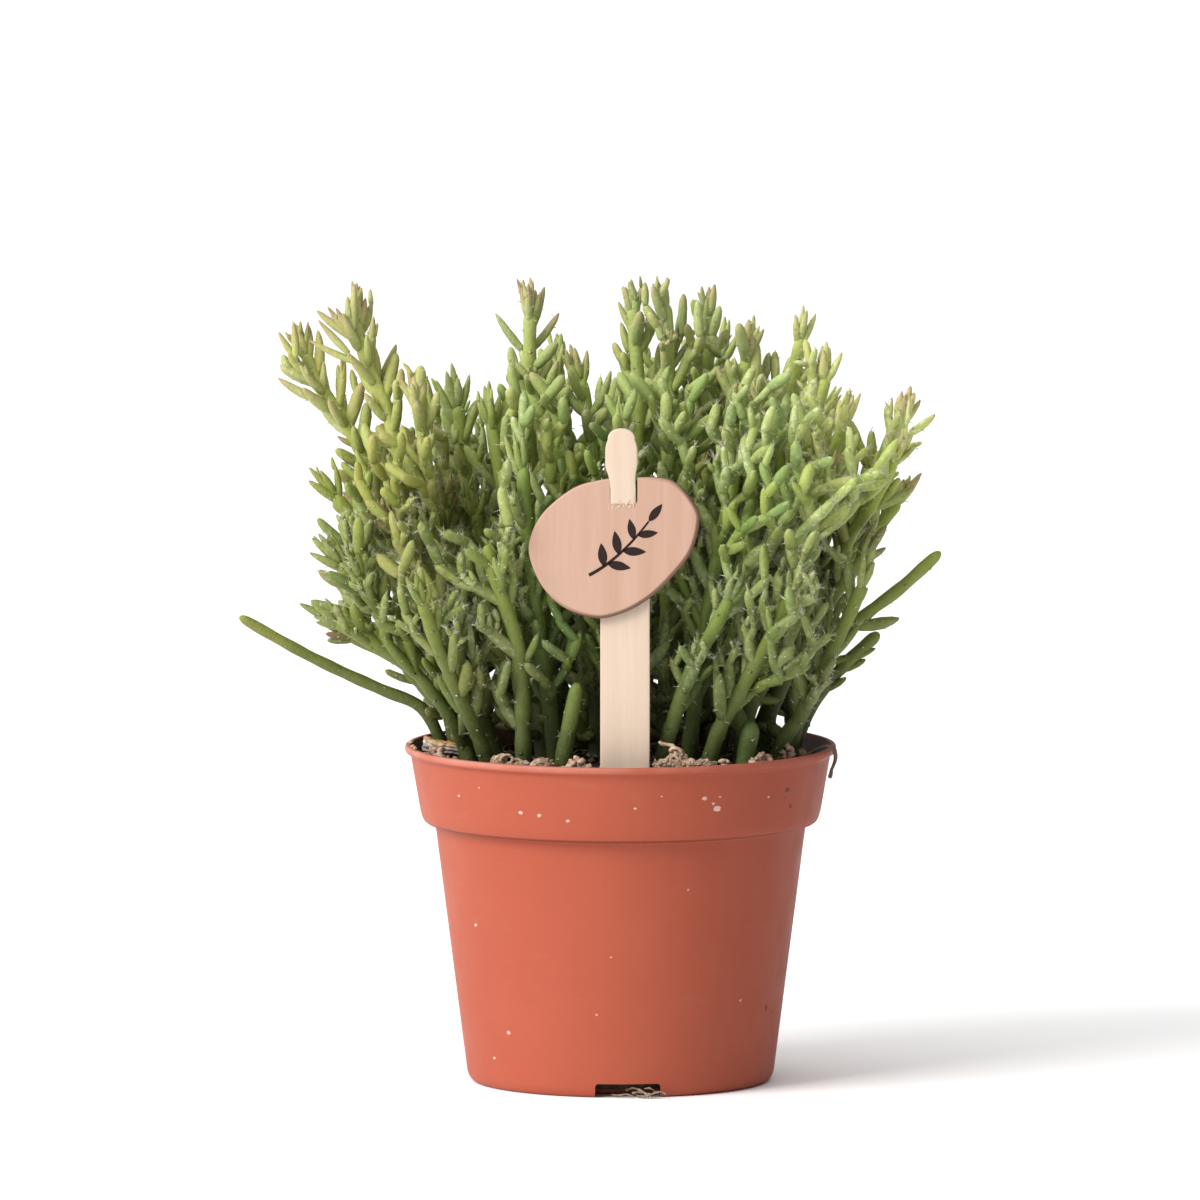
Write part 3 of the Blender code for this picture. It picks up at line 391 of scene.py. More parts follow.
def span(nt, v, lo, hi, to_lo=0.0, to_hi=1.0):
    n = nt.nodes.new("ShaderNodeMapRange")
    put(n.inputs["Value"], v, nt)
    n.inputs["From Min"].default_value = lo
    n.inputs["From Max"].default_value = hi
    n.inputs["To Min"].default_value = to_lo
    n.inputs["To Max"].default_value = to_hi
    return n.outputs["Result"]


def bump(nt, height, strength, distance, normal=None):
    n = nt.nodes.new("ShaderNodeBump")
    n.inputs["Strength"].default_value = strength
    n.inputs["Distance"].default_value = distance
    put(n.inputs["Height"], height, nt)
    put(n.inputs["Normal"], normal, nt)
    return n.outputs["Normal"]


def coords(nt, scale=(1.0, 1.0, 1.0), rotate=(0.0, 0.0, 0.0)):
    """Object coordinates in metres, stretched and turned."""
    tc = nt.nodes.new("ShaderNodeTexCoord")
    m = nt.nodes.new("ShaderNodeMapping")
    m.inputs["Scale"].default_value = scale
    m.inputs["Rotation"].default_value = rotate
    nt.links.new(tc.outputs["Object"], m.inputs["Vector"])
    return m.outputs["Vector"]


def attribute(nt, name):
    n = nt.nodes.new("ShaderNodeAttribute")
    n.attribute_name = name
    return n.outputs["Fac"]


# ------------------------------------------------------------------ materials
def make_skin():
    mat, nt, sh = material("rhipsalis_skin")
    at = coords(nt)
    age, pick, along, tint, frost = (attribute(nt, key) for key in ("age", "pick", "along", "bronze", "frost"))
    hue = ramp(nt, pick, [(0.0, (0.250, 0.262, 0.053)), (0.25, (0.211, 0.247, 0.046)), (0.5, (0.173, 0.224, 0.039)),
                          (0.75, (0.129, 0.195, 0.038)), (1.0, (0.110, 0.174, 0.050))])
    old = ramp(nt, noise(nt, at, 60.0), [(0.3, (0.075, 0.112, 0.021)), (0.7, (0.120, 0.152, 0.035))])
    base = mix(nt, hue, old, span(nt, age, 0.42, 0.85, 0.0, 0.85))
    mottle = noise(nt, at, 420.0, 4.0, 0.6)
    pale = calc(nt, "MULTIPLY", frost, span(nt, mottle, 0.35, 0.65, 0.25, 1.0))
    base = mix(nt, base, (0.315, 0.335, 0.165), calc(nt, "MULTIPLY", pale, 0.62, clamp=True))
    base = mix(nt, base, (0.31, 0.35, 0.12), span(nt, mottle, 0.55, 0.85, 0.0, 0.40))
    base = mix(nt, base, (0.060, 0.095, 0.016), span(nt, mottle, 0.45, 0.2, 0.0, 0.5))
    fleck = span(nt, noise(nt, at, 1000.0, 2.0, 0.5), 0.55, 0.66)
    base = mix(nt, base, (0.46, 0.48, 0.34), calc(nt, "MULTIPLY", calc(nt, "MULTIPLY", frost, fleck), 0.55, clamp=True))
    blush = ramp(nt, noise(nt, at, 300.0), [(0.35, (0.190, 0.095, 0.050)), (0.65, (0.330, 0.165, 0.110))])
    young = calc(nt, "MULTIPLY", tint, span(nt, along, 0.18, 0.92))
    base = mix(nt, base, blush, calc(nt, "MULTIPLY", young, 0.95, clamp=True))
    tip = calc(nt, "MULTIPLY", span(nt, age, 0.22, 0.1), span(nt, along, 0.72, 1.0))
    base = mix(nt, base, (0.130, 0.115, 0.085), calc(nt, "MULTIPLY", tip, 0.7, clamp=True))
    woody = calc(nt, "MULTIPLY", span(nt, age, 0.82, 0.9), span(nt, noise(nt, at, 150.0), 0.46, 0.62))
    base = mix(nt, base, (0.185, 0.150, 0.080), calc(nt, "MULTIPLY", woody, 0.7, clamp=True))
    split = nt.nodes.new("ShaderNodeSeparateXYZ")
    nt.links.new(coords(nt), split.inputs[0])
    high = split.outputs[2]
    # painted shade and highlight by height: the skin darker low down and up to 1.75 times brighter towards the top
    painted_height_light = calc(nt, "MULTIPLY", span(nt, high, 0.072, 0.108, 0.46, 0.95), span(nt, high, 0.116, 0.152, 1.0, 1.75))
    # painted highlight: the skin up to 1.42 times brighter on the right side, higher up
    painted_right_light = calc(nt, "MULTIPLY", span(nt, split.outputs[0], 0.024, 0.048), span(nt, high, 0.106, 0.126, 0.0, 0.42))
    painted_height_light = calc(nt, "MULTIPLY", painted_height_light, calc(nt, "ADD", painted_right_light, 1.0))
    grade = nt.nodes.new("ShaderNodeVectorMath")
    grade.operation = "SCALE"
    nt.links.new(base, grade.inputs[0])
    nt.links.new(painted_height_light, grade.inputs["Scale"])
    # a paler tint towards the top of the bush
    base = mix(nt, grade.outputs[0], (0.36, 0.37, 0.22), span(nt, high, 0.128, 0.160, 0.0, 0.34))
    base = mix(nt, base, blush, calc(nt, "MULTIPLY", calc(nt, "MULTIPLY", tint, span(nt, along, 0.40, 1.0)), 0.70, clamp=True))
    put(sh.inputs["Base Color"], base, nt)
    put(sh.inputs["Roughness"], span(nt, noise(nt, at, 260.0), 0.3, 0.7, 0.50, 0.70), nt)
    put(sh.inputs["Normal"], bump(nt, calc(nt, "ADD", noise(nt, at, 1500.0, 2.0), calc(nt, "MULTIPLY", mottle, 1.2)), 0.6, 0.0003), nt)
    sh.inputs["Subsurface Weight"].default_value = 0.08
    sh.inputs["Subsurface Radius"].default_value = (0.6, 1.0, 0.25)
    sh.inputs["Subsurface Scale"].default_value = 0.0010
    sh.inputs["Specular IOR Level"].default_value = 0.32
    return mat


def make_bristle():
    mat, nt, sh = material("bristle")
    at = coords(nt)
    put(sh.inputs["Base Color"], ramp(nt, noise(nt, at, 230.0), [(0.3, (0.48, 0.47, 0.31)), (0.6, (0.62, 0.62, 0.47)), (0.8, (0.71, 0.70, 0.58))]), nt)
    put(sh.inputs["Roughness"], span(nt, noise(nt, at, 500.0), 0.3, 0.7, 0.5, 0.7), nt)
    return mat


def make_plastic():
    mat, nt, sh = material("pot_plastic")
    at = coords(nt)
    cloud = noise(nt, at, 22.0, 4.0, 0.6)
    base = ramp(nt, cloud, [(0.3, (0.345, 0.071, 0.037)), (0.7, (0.375, 0.084, 0.045))])
    scuff = noise(nt, coords(nt, (1.0, 1.0, 6.0)), 90.0, 5.0, 0.7)
    base = mix(nt, base, (0.42, 0.170, 0.115), span(nt, scuff, 0.60, 0.82, 0.0, 0.30))
    base = mix(nt, base, (0.200, 0.055, 0.036), span(nt, noise(nt, at, 55.0, 5.0, 0.65), 0.64, 0.84, 0.0, 0.35))
    lip = attribute(nt, "lip")
    across = nt.nodes.new("ShaderNodeSeparateXYZ")
    nt.links.new(coords(nt), across.inputs[0])
    # painted highlight: a pale pink, mottled line along the lip, strongest on the left
    wear_and_painted_highlight = calc(nt, "MULTIPLY", span(nt, noise(nt, at, 130.0, 3.0), 0.35, 0.6, 0.30, 0.85), span(nt, across.outputs[0], -0.040, 0.004, 1.0, 0.45))
    base = mix(nt, base, (0.47, 0.195, 0.150), calc(nt, "MULTIPLY", lip, wear_and_painted_highlight, clamp=True))
    # painted shade: the plastic darker and redder towards the right side
    painted_right_shade = nt.nodes.new("ShaderNodeVectorMath")
    painted_right_shade.operation = "SCALE"
    nt.links.new(base, painted_right_shade.inputs[0])
    nt.links.new(span(nt, across.outputs[0], -0.006, 0.034, 1.0, 0.86), painted_right_shade.inputs["Scale"])
    base = mix(nt, painted_right_shade.outputs[0], (0.30, 0.052, 0.020), span(nt, across.outputs[0], 0.0, 0.034, 0.0, 0.22))
    inside = attribute(nt, "inside")
    base = mix(nt, base, (0.150, 0.032, 0.018), calc(nt, "MULTIPLY", inside, 0.75))
    film = calc(nt, "MULTIPLY", attribute(nt, "film"), span(nt, noise(nt, coords(nt, (1.0, 1.0, 0.35)), 160.0, 4.0, 0.6), 0.3, 0.55))
    base = mix(nt, base, ramp(nt, noise(nt, at, 210.0, 4.0), [(0.35, (0.050, 0.042, 0.044)), (0.7, (0.175, 0.160, 0.165))]), calc(nt, "MULTIPLY", film, 0.9, clamp=True))
    put(sh.inputs["Base Color"], base, nt)
    put(sh.inputs["Roughness"], span(nt, noise(nt, at, 140.0, 4.0), 0.25, 0.75, 0.46, 0.60), nt)
    put(sh.inputs["Normal"], bump(nt, calc(nt, "ADD", noise(nt, at, 1400.0, 2.0), calc(nt, "MULTIPLY", scuff, 0.8)), 0.12, 0.0002), nt)
    sh.inputs["Specular IOR Level"].default_value = 0.20
    return mat


def make_soil():
    mat, nt, sh = material("soil_peat")
    at = coords(nt)
    grain = noise(nt, at, 380.0, 6.0, 0.7)
    base = ramp(nt, grain, [(0.25, (0.010, 0.006, 0.004)), (0.5, (0.034, 0.020, 0.013)), (0.68, (0.085, 0.052, 0.031)), (0.85, (0.19, 0.130, 0.085))])
    cell = voronoi(nt, at, 520.0)
    base = mix(nt, base, (0.13, 0.085, 0.052), span(nt, cell.outputs["Distance"], 0.25, 0.05, 0.0, 0.4))
    put(sh.inputs["Base Color"], base, nt)
    put(sh.inputs["Roughness"], span(nt, grain, 0.2, 0.8, 0.85, 1.0), nt)
    put(sh.inputs["Normal"], bump(nt, calc(nt, "ADD", grain, cell.outputs["Distance"]), 0.8, 0.0006), nt)
    sh.inputs["Specular IOR Level"].default_value = 0.2
    return mat


def make_crumb():
    mat, nt, sh = material("soil_crumb")
    at = coords(nt)
    grain = noise(nt, at, 620.0, 6.0, 0.7)
    base = ramp(nt, grain, [(0.27, (0.120, 0.070, 0.042)), (0.42, (0.330, 0.215, 0.140)), (0.58, (0.560, 0.400, 0.285)), (0.85, (0.700, 0.570, 0.440))])
    base = mix(nt, base, (0.42, 0.27, 0.22), span(nt, noise(nt, at, 150.0), 0.5, 0.7, 0.0, 0.5))
    # painted shade: near black in the folds of the husks
    base = mix(nt, base, (0.035, 0.018, 0.010), calc(nt, "MULTIPLY", attribute(nt, "painted_crease_shade"), 0.85, clamp=True))
    put(sh.inputs["Base Color"], base, nt)
    put(sh.inputs["Roughness"], span(nt, grain, 0.2, 0.8, 0.8, 1.0), nt)
    put(sh.inputs["Normal"], bump(nt, grain, 0.7, 0.0005), nt)
    sh.inputs["Specular IOR Level"].default_value = 0.2
    return mat


def make_grain():
    mat, nt, sh = material("pale_grain")
    g = noise(nt, coords(nt), 700.0, 4.0)
    put(sh.inputs["Base Color"], ramp(nt, g, [(0.3, (0.50, 0.42, 0.28)), (0.6, (0.68, 0.62, 0.48)), (0.8, (0.74, 0.70, 0.60))]), nt)
    put(sh.inputs["Roughness"], span(nt, g, 0.3, 0.7, 0.7, 0.9), nt)
    put(sh.inputs["Normal"], bump(nt, g, 0.4, 0.0003), nt)
    return mat


def make_wood(name, pale, mid, dark, grain_turn, edge=None, ring_scale=330.0):
    mat, nt, sh = material(name)
    along = coords(nt, (1.0, 1.0, 0.045), (0.0, grain_turn, 0.0))
    warp = noise(nt, coords(nt, (1.0, 1.0, 0.2), (0.0, grain_turn, 0.0)), 40.0, 2.0)
    fibre = noise(nt, along, ring_scale * 6, 4.0, 0.6)
    rings = noise(nt, along, ring_scale, 3.0, 0.55, 0.6)
    base = ramp(nt, rings, [(0.25, dark), (0.45, mid), (0.62, pale), (0.8, mid)])
    base = mix(nt, base, dark, span(nt, fibre, 0.55, 0.8, 0.0, 0.30))
    base = mix(nt, base, pale, span(nt, warp, 0.45, 0.7, 0.0, 0.55))
    if edge:
        # dark edge: the burnt laser-cut edge, together with painted shade along the lower right of the faces
        burn_and_shade = span(nt, attribute(nt, "rim"), 0.15, 0.6)
        base = mix(nt, base, edge, calc(nt, "MULTIPLY", burn_and_shade, span(nt, warp, 0.2, 0.7, 0.75, 1.0), clamp=True))
    put(sh.inputs["Base Color"], base, nt)
    put(sh.inputs["Roughness"], span(nt, fibre, 0.3, 0.7, 0.52, 0.72), nt)
    put(sh.inputs["Normal"], bump(nt, calc(nt, "ADD", fibre, calc(nt, "MULTIPLY", rings, 0.5)), 0.2, 0.00012), nt)
    sh.inputs["Specular IOR Level"].default_value = 0.3
    return mat


def make_ink():
    mat, nt, sh = material("tag_ink")
    wear_and_painted_highlight = noise(nt, coords(nt), 900.0, 4.0, 0.7)
    put(sh.inputs["Base Color"], ramp(nt, wear_and_painted_highlight, [(0.3, (0.012, 0.005, 0.004)), (0.7, (0.022, 0.010, 0.008)), (0.95, (0.07, 0.04, 0.03))]), nt)
    put(sh.inputs["Roughness"], span(nt, wear_and_painted_highlight, 0.2, 0.8, 0.6, 0.85), nt)
    sh.inputs["Specular IOR Level"].default_value = 0.25
    return mat


def make_bark():
    mat, nt, sh = material("bark")
    at = coords(nt)
    g = noise(nt, coords(nt, (0.45, 1.0, 1.6)), 420.0, 6.0, 0.7)
    layer = calc(nt, "ADD", attribute(nt, "layer"), span(nt, g, 0.25, 0.75, -0.10, 0.10))
    base = ramp(nt, layer, [(0.0, (0.36, 0.29, 0.25)), (0.16, (0.26, 0.21, 0.19)), (0.32, (0.15, 0.135, 0.135)), (0.46, (0.34, 0.30, 0.27)),
                            (0.60, (0.62, 0.56, 0.46)), (0.80, (0.60, 0.42, 0.22)), (1.0, (0.55, 0.27, 0.10))])
    base = mix(nt, base, (0.46, 0.33, 0.28), calc(nt, "MULTIPLY", attribute(nt, "end"), span(nt, noise(nt, at, 380.0), 0.4, 0.62), clamp=True))
    base = mix(nt, base, (0.05, 0.035, 0.03), span(nt, g, 0.36, 0.24, 0.0, 0.7))
    put(sh.inputs["Base Color"], base, nt)
    put(sh.inputs["Roughness"], span(nt, g, 0.2, 0.8, 0.65, 0.95), nt)
    put(sh.inputs["Normal"], bump(nt, g, 0.7, 0.0005), nt)
    return mat


def make_root():
    mat, nt, sh = material("dry_root")
    g = noise(nt, coords(nt), 700.0, 5.0, 0.7)
    put(sh.inputs["Base Color"], ramp(nt, g, [(0.3, (0.10, 0.065, 0.042)), (0.55, (0.27, 0.20, 0.135)), (0.8, (0.48, 0.40, 0.30))]), nt)
    put(sh.inputs["Roughness"], span(nt, g, 0.2, 0.8, 0.7, 0.95), nt)
    put(sh.inputs["Normal"], bump(nt, g, 0.6, 0.0003), nt)
    return mat


def make_twig():
    mat, nt, sh = material("dry_twig")
    g = noise(nt, coords(nt), 600.0, 5.0, 0.7)
    put(sh.inputs["Base Color"], ramp(nt, g, [(0.3, (0.055, 0.030, 0.022)), (0.55, (0.13, 0.075, 0.055)), (0.8, (0.26, 0.17, 0.13))]), nt)
    put(sh.inputs["Roughness"], span(nt, g, 0.2, 0.8, 0.7, 0.95), nt)
    put(sh.inputs["Normal"], bump(nt, g, 0.6, 0.0003), nt)
    return mat


def make_speck():
    mat, nt, sh = material("speck")
    g = noise(nt, coords(nt), 900.0, 4.0)
    put(sh.inputs["Base Color"], ramp(nt, g, [(0.3, (0.47, 0.26, 0.21)), (0.7, (0.62, 0.44, 0.38))]), nt)
    put(sh.inputs["Roughness"], span(nt, g, 0.3, 0.7, 0.7, 0.9), nt)
    return mat


def make_smudge():
    mat, nt, sh = material("smudge")
    g = noise(nt, coords(nt), 700.0, 4.0)
    put(sh.inputs["Base Color"], ramp(nt, g, [(0.3, (0.11, 0.030, 0.020)), (0.7, (0.19, 0.055, 0.036))]), nt)
    put(sh.inputs["Roughness"], span(nt, g, 0.3, 0.7, 0.75, 0.95), nt)
    return mat


def make_floor():
    mat, nt, sh = material("studio_floor")
    g = noise(nt, coords(nt), 3.0, 2.0)
    put(sh.inputs["Base Color"], ramp(nt, g, [(0.3, (0.93, 0.93, 0.93)), (0.7, (0.94, 0.94, 0.94))]), nt)
    sh.inputs["Roughness"].default_value = 0.9
    sh.inputs["Specular IOR Level"].default_value = 0.0
    return mat


SKIN, BRISTLE, PLASTIC, SOIL_MAT, CRUMB_MAT = make_skin(), make_bristle(), make_plastic(), make_soil(), make_crumb()
STICK_MAT = make_wood("stick_birch", (0.595, 0.468, 0.368), (0.560, 0.435, 0.334), (0.515, 0.388, 0.288), 0.0)
TAG_MAT = make_wood("tag_veneer", (0.488, 0.310, 0.235), (0.462, 0.287, 0.212), (0.430, 0.258, 0.189), 1.25, edge=(0.100, 0.045, 0.028))
GRAIN_MAT = make_grain()
INK, BARK, ROOT_MAT, TWIG_MAT, SPECK, SMUDGE, FLOOR_MAT = make_ink(), make_bark(), make_root(), make_twig(), make_speck(), make_smudge(), make_floor()


# ------------------------------------------------------------------ mesh building
class Bag:
    """Collects tubes, dots and hairs for one mesh, with the values that the skin's finish reads at each point."""

    def __init__(self):
        self.v, self.f, self.m, self.flat = [], [], [], []
        self.age, self.pick, self.along, self.bronze, self.frost = [], [], [], [], []

    def note(self, n, age, pick, along, bronze=0.0, frost=0.0):
        self.age += [age] * n
        self.pick += [pick] * n
        self.along += [along] * n
        self.bronze += [bronze] * n
        self.frost += [frost] * n

    def tube(self, centres, radii, sides, age, pick, ribs=0.0, phase=0.0, mat=0, alongs=None, bronze=0.0, frost=0.0):
        """Closed tube along the centres with a radius at each; rings turn with the line."""
        n = len(centres)
        up = None
        first = len(self.v)
        for k in range(n):
            a = centres[max(0, k - 1)]
            b = centres[min(n - 1, k + 1)]
            t = (b - a).normalized()
            if up is None:
                up = t.orthogonal().normalized()
            up = (up - t * up.dot(t)).normalized()
            side = t.cross(up)
            r = radii[k]
            for j in range(sides):
                w = 2 * math.pi * j / sides + phase
                rr = r * (1.0 + (ribs if j % 2 else -ribs))
                self.v.append(tuple(centres[k] + (up * math.cos(w) + side * math.sin(w)) * rr))
            self.note(sides, age if not isinstance(age, list) else age[k], pick, alongs[k] if alongs else k / (n - 1), bronze, frost)
        for k in range(n - 1):
            a0 = first + k * sides
            b0 = a0 + sides
            for j in range(sides):
                j2 = (j + 1) % sides
                self.f.append((a0 + j, a0 + j2, b0 + j2, b0 + j))
                self.m.append(mat)
        for k, flip in ((0, True), (n - 1, False)):
            row = [first + k * sides + j for j in range(sides)]
            self.flat.append(len(self.f))
            self.f.append(tuple(reversed(row)) if flip else tuple(row))
            self.m.append(mat)

    def hair(self, root, way, length, r, mat=1):
        """A fine bristle: a three-sided spike."""
        a = way.orthogonal().normalized()
        b = way.cross(a)
        first = len(self.v)
        base = root - way * 0.15
        for j in range(3):
            w = 2.0944 * j
            self.v.append(tuple(base + (a * math.cos(w) + b * math.sin(w)) * r))
        self.v.append(tuple(root + way * length))
        self.f += [(first, first + 1, first + 3), (first + 1, first + 2, first + 3), (first + 2, first, first + 3), (first + 2, first + 1, first)]
        self.m += [mat] * 4
        self.note(4, 0.5, 0.5, 1.0)

    def dot(self, at, normal, r, lift, mat=1, age=0.5, pick=0.5, bronze=0.0, frost=0.0):
        """A small low cushion on the skin: a pale areole, or the swelling that one sits on."""
        a = normal.orthogonal().normalized()
        b = normal.cross(a)
        first = len(self.v)
        for j in range(5):
            w = 2 * math.pi * j / 5
            self.v.append(tuple(at - normal * 0.12 + (a * math.cos(w) + b * math.sin(w)) * r))
        self.v.append(tuple(at + normal * lift))
        for j in range(5):
            self.f.append((first + j, first + (j + 1) % 5, first + 5))
            self.m.append(mat)
        self.flat.append(len(self.f))
        self.f.append(tuple(first + j for j in reversed(range(5))))
        self.m.append(mat)
        self.note(6, age, pick, 0.9, bronze, frost)

    def build(self, name, mats, smooth=True):
        mesh = bpy.data.meshes.new(name)
        mesh.from_pydata([(x * MM, y * MM, z * MM) for x, y, z in self.v], [], self.f)
        for mat in mats:
            mesh.materials.append(mat)
        mesh.polygons.foreach_set("material_index", self.m)
        for key, values in (("age", self.age), ("pick", self.pick), ("along", self.along), ("bronze", self.bronze), ("frost", self.frost)):
            layer = mesh.attributes.new(key, "FLOAT", "POINT")
            layer.data.foreach_set("value", values)
        if smooth:
            soft = np.ones(len(self.f), dtype=bool)
            soft[self.flat] = False
            mesh.polygons.foreach_set("use_smooth", soft)
        mesh.update()
        ob = bpy.data.objects.new(name, mesh)
        bpy.context.scene.collection.objects.link(ob)
        return ob


# ------------------------------------------------------------------ the plant's fine growth
# how far the bush reaches, in mm: highest at each x, furthest left and right at each z
REACH_TOP = [(-86, 100), (-74.5, 101), (-72.5, 156), (-66, 160), (-60, 162), (-57, 167), (-53, 167), (-50, 160.5), (-46, 154.5), (-42, 150.5),
             (-36, 146.5), (-29, 144), (-25, 145), (-23.5, 158), (-21, 168.5), (-15, 167), (-12.5, 156), (-10, 149), (-5, 147), (-2.5, 152), (0, 166),
             (6, 169.5), (10, 169), (13, 165.5), (19, 165.5), (23, 160.5), (28, 160.5), (33, 153.5), (36, 161), (40, 161.5), (44, 146.5),
             (49, 145), (52, 138), (56, 143.5), (61, 145), (66, 140), (68, 113)]
REACH_LEFT = [(70, -40), (76, -42), (82, -44), (87, -46), (91, -48.5), (92.5, -56), (94, -62), (101, -65), (110, -64), (117, -63.5), (122, -60.5),
              (128, -64), (132, -60), (138, -62), (143, -67), (146, -71.5), (158, -71.5), (161, -68), (164, -60), (168, -58)]
REACH_RIGHT = [(70, 37), (76, 38), (80, 41), (84, 44), (90, 48), (94, 49), (97, 47.5), (101, 47), (107, 47), (111, 47.5), (114, 49.5),
               (117, 53), (120, 58), (125, 61), (130, 60), (134, 63), (139, 65.5), (143, 63), (147, 50), (155, 44.5), (161, 40), (164, 23), (169, 11)]
REACH_FRONT = [(70, 33), (80, 37), (90, 42), (100, 46), (115, 48), (130, 44), (145, 33), (158, 22), (170, 12)]
REACH_BACK = [(70, 40), (80, 46), (90, 54), (102, 61), (120, 62), (135, 58), (150, 48), (160, 38), (170, 20)]


def look_up(table, at):
    """Straight-line reading of a two-column table, held at its ends."""
    if at <= table[0][0]:
        return table[0][1]
    for (a, va), (b, vb) in zip(table, table[1:]):
        if at <= b:
            return va + (vb - va) * (at - a) / (b - a)
    return table[-1][1]


def beyond(p, r, slack=0.0):
    """True where growth would leave the shape of the bush."""
    x, y, z = p
    seen_z = z + 0.107 * y
    if seen_z + 0.5 * r > look_up(REACH_TOP, x) + slack or z > 170.5 + slack:
        return True
    left, right = look_up(REACH_LEFT, seen_z), look_up(REACH_RIGHT, seen_z)
    if x - 0.8 * r < left - slack or x + 0.8 * r > right + slack:
        return True
    if -38.0 < x < -25.0 and y < -2.0 and 116.0 < seen_z < 138.0:
        return True
    deep = look_up(REACH_BACK, z) if y > 0 else look_up(REACH_FRONT, z) + 14.0 * min(1.0, max(0.0, (x - 15.0) / 15.0))
    half = (-left if x < 0 else max(right, 56.0)) + 6.0
    return (abs(y) + r) > (deep + slack) * math.sqrt(max(0.05, 1.0 - min(1.0, abs(x) / half) ** 2.6)) + 1.0


class Crowd:
    """Every stem and shoot as a capsule, to keep new ones from growing through them."""

    def __init__(self, room):
        self.A, self.B, self.M = np.zeros((room, 3)), np.zeros((room, 3)), np.zeros((room, 3))
        self.R, self.H = np.zeros(room), np.zeros(room)
        self.tag = np.full(room, -1)
        self.n = 0

    def add(self, a, b, r, tag=-1):
        n = self.n
        self.A[n], self.B[n], self.R[n], self.tag[n] = a, b, r, tag
        self.M[n] = (self.A[n] + self.B[n]) / 2
        self.H[n] = (b - a).length / 2 + r
        self.n += 1

    def near(self, middle, reach):
        n = self.n
        d = self.M[:n] - middle
        return np.nonzero(np.einsum("ij,ij->i", d, d) < (self.H[:n] + reach) ** 2)[0]

    def clear(self, a, b, r, skip=-9):
        """Least gap between the capsule a-b and the ones that stand, apart from those tagged `skip`."""
        a, b = np.array(a), np.array(b)
        k = self.near((a + b) / 2, float(np.linalg.norm(b - a)) / 2 + r + 0.2)
        k = k[self.tag[k] != skip]
        if len(k) == 0:
            return 1.0
        return (gap_to(a, b, self.A[k], self.B[k]) - self.R[k] - r).min()

    def gaps(self, p, reach):
        """The capsules within reach of the point: which, how far their skin is, and where along them."""
        k = self.near(p, reach)
        d = self.B[k] - self.A[k]
        t = np.clip(((p - self.A[k]) * d).sum(1) / ((d * d).sum(1) + 1e-9), 0, 1)
        return k, np.sqrt(((self.A[k] + d * t[:, None] - p) ** 2).sum(1)) - self.R[k], t


SPINDLE = [(0.0, 0.70), (0.12, 0.88), (0.40, 1.0), (0.70, 0.96), (0.88, 0.76), (0.965, 0.46), (1.0, 0.14)]
DART = [(0.0, 0.60), (0.12, 0.85), (0.35, 1.0), (0.60, 0.90), (0.82, 0.62), (0.94, 0.36), (1.0, 0.10)]
HORN = [(0.0, 0.72), (0.14, 0.92), (0.38, 1.0), (0.62, 0.93), (0.84, 0.68), (0.95, 0.38), (1.0, 0.12)]
KNOB = [(0.0, 0.78), (0.3, 1.0), (0.62, 0.97), (0.87, 0.66), (1.0, 0.18)]
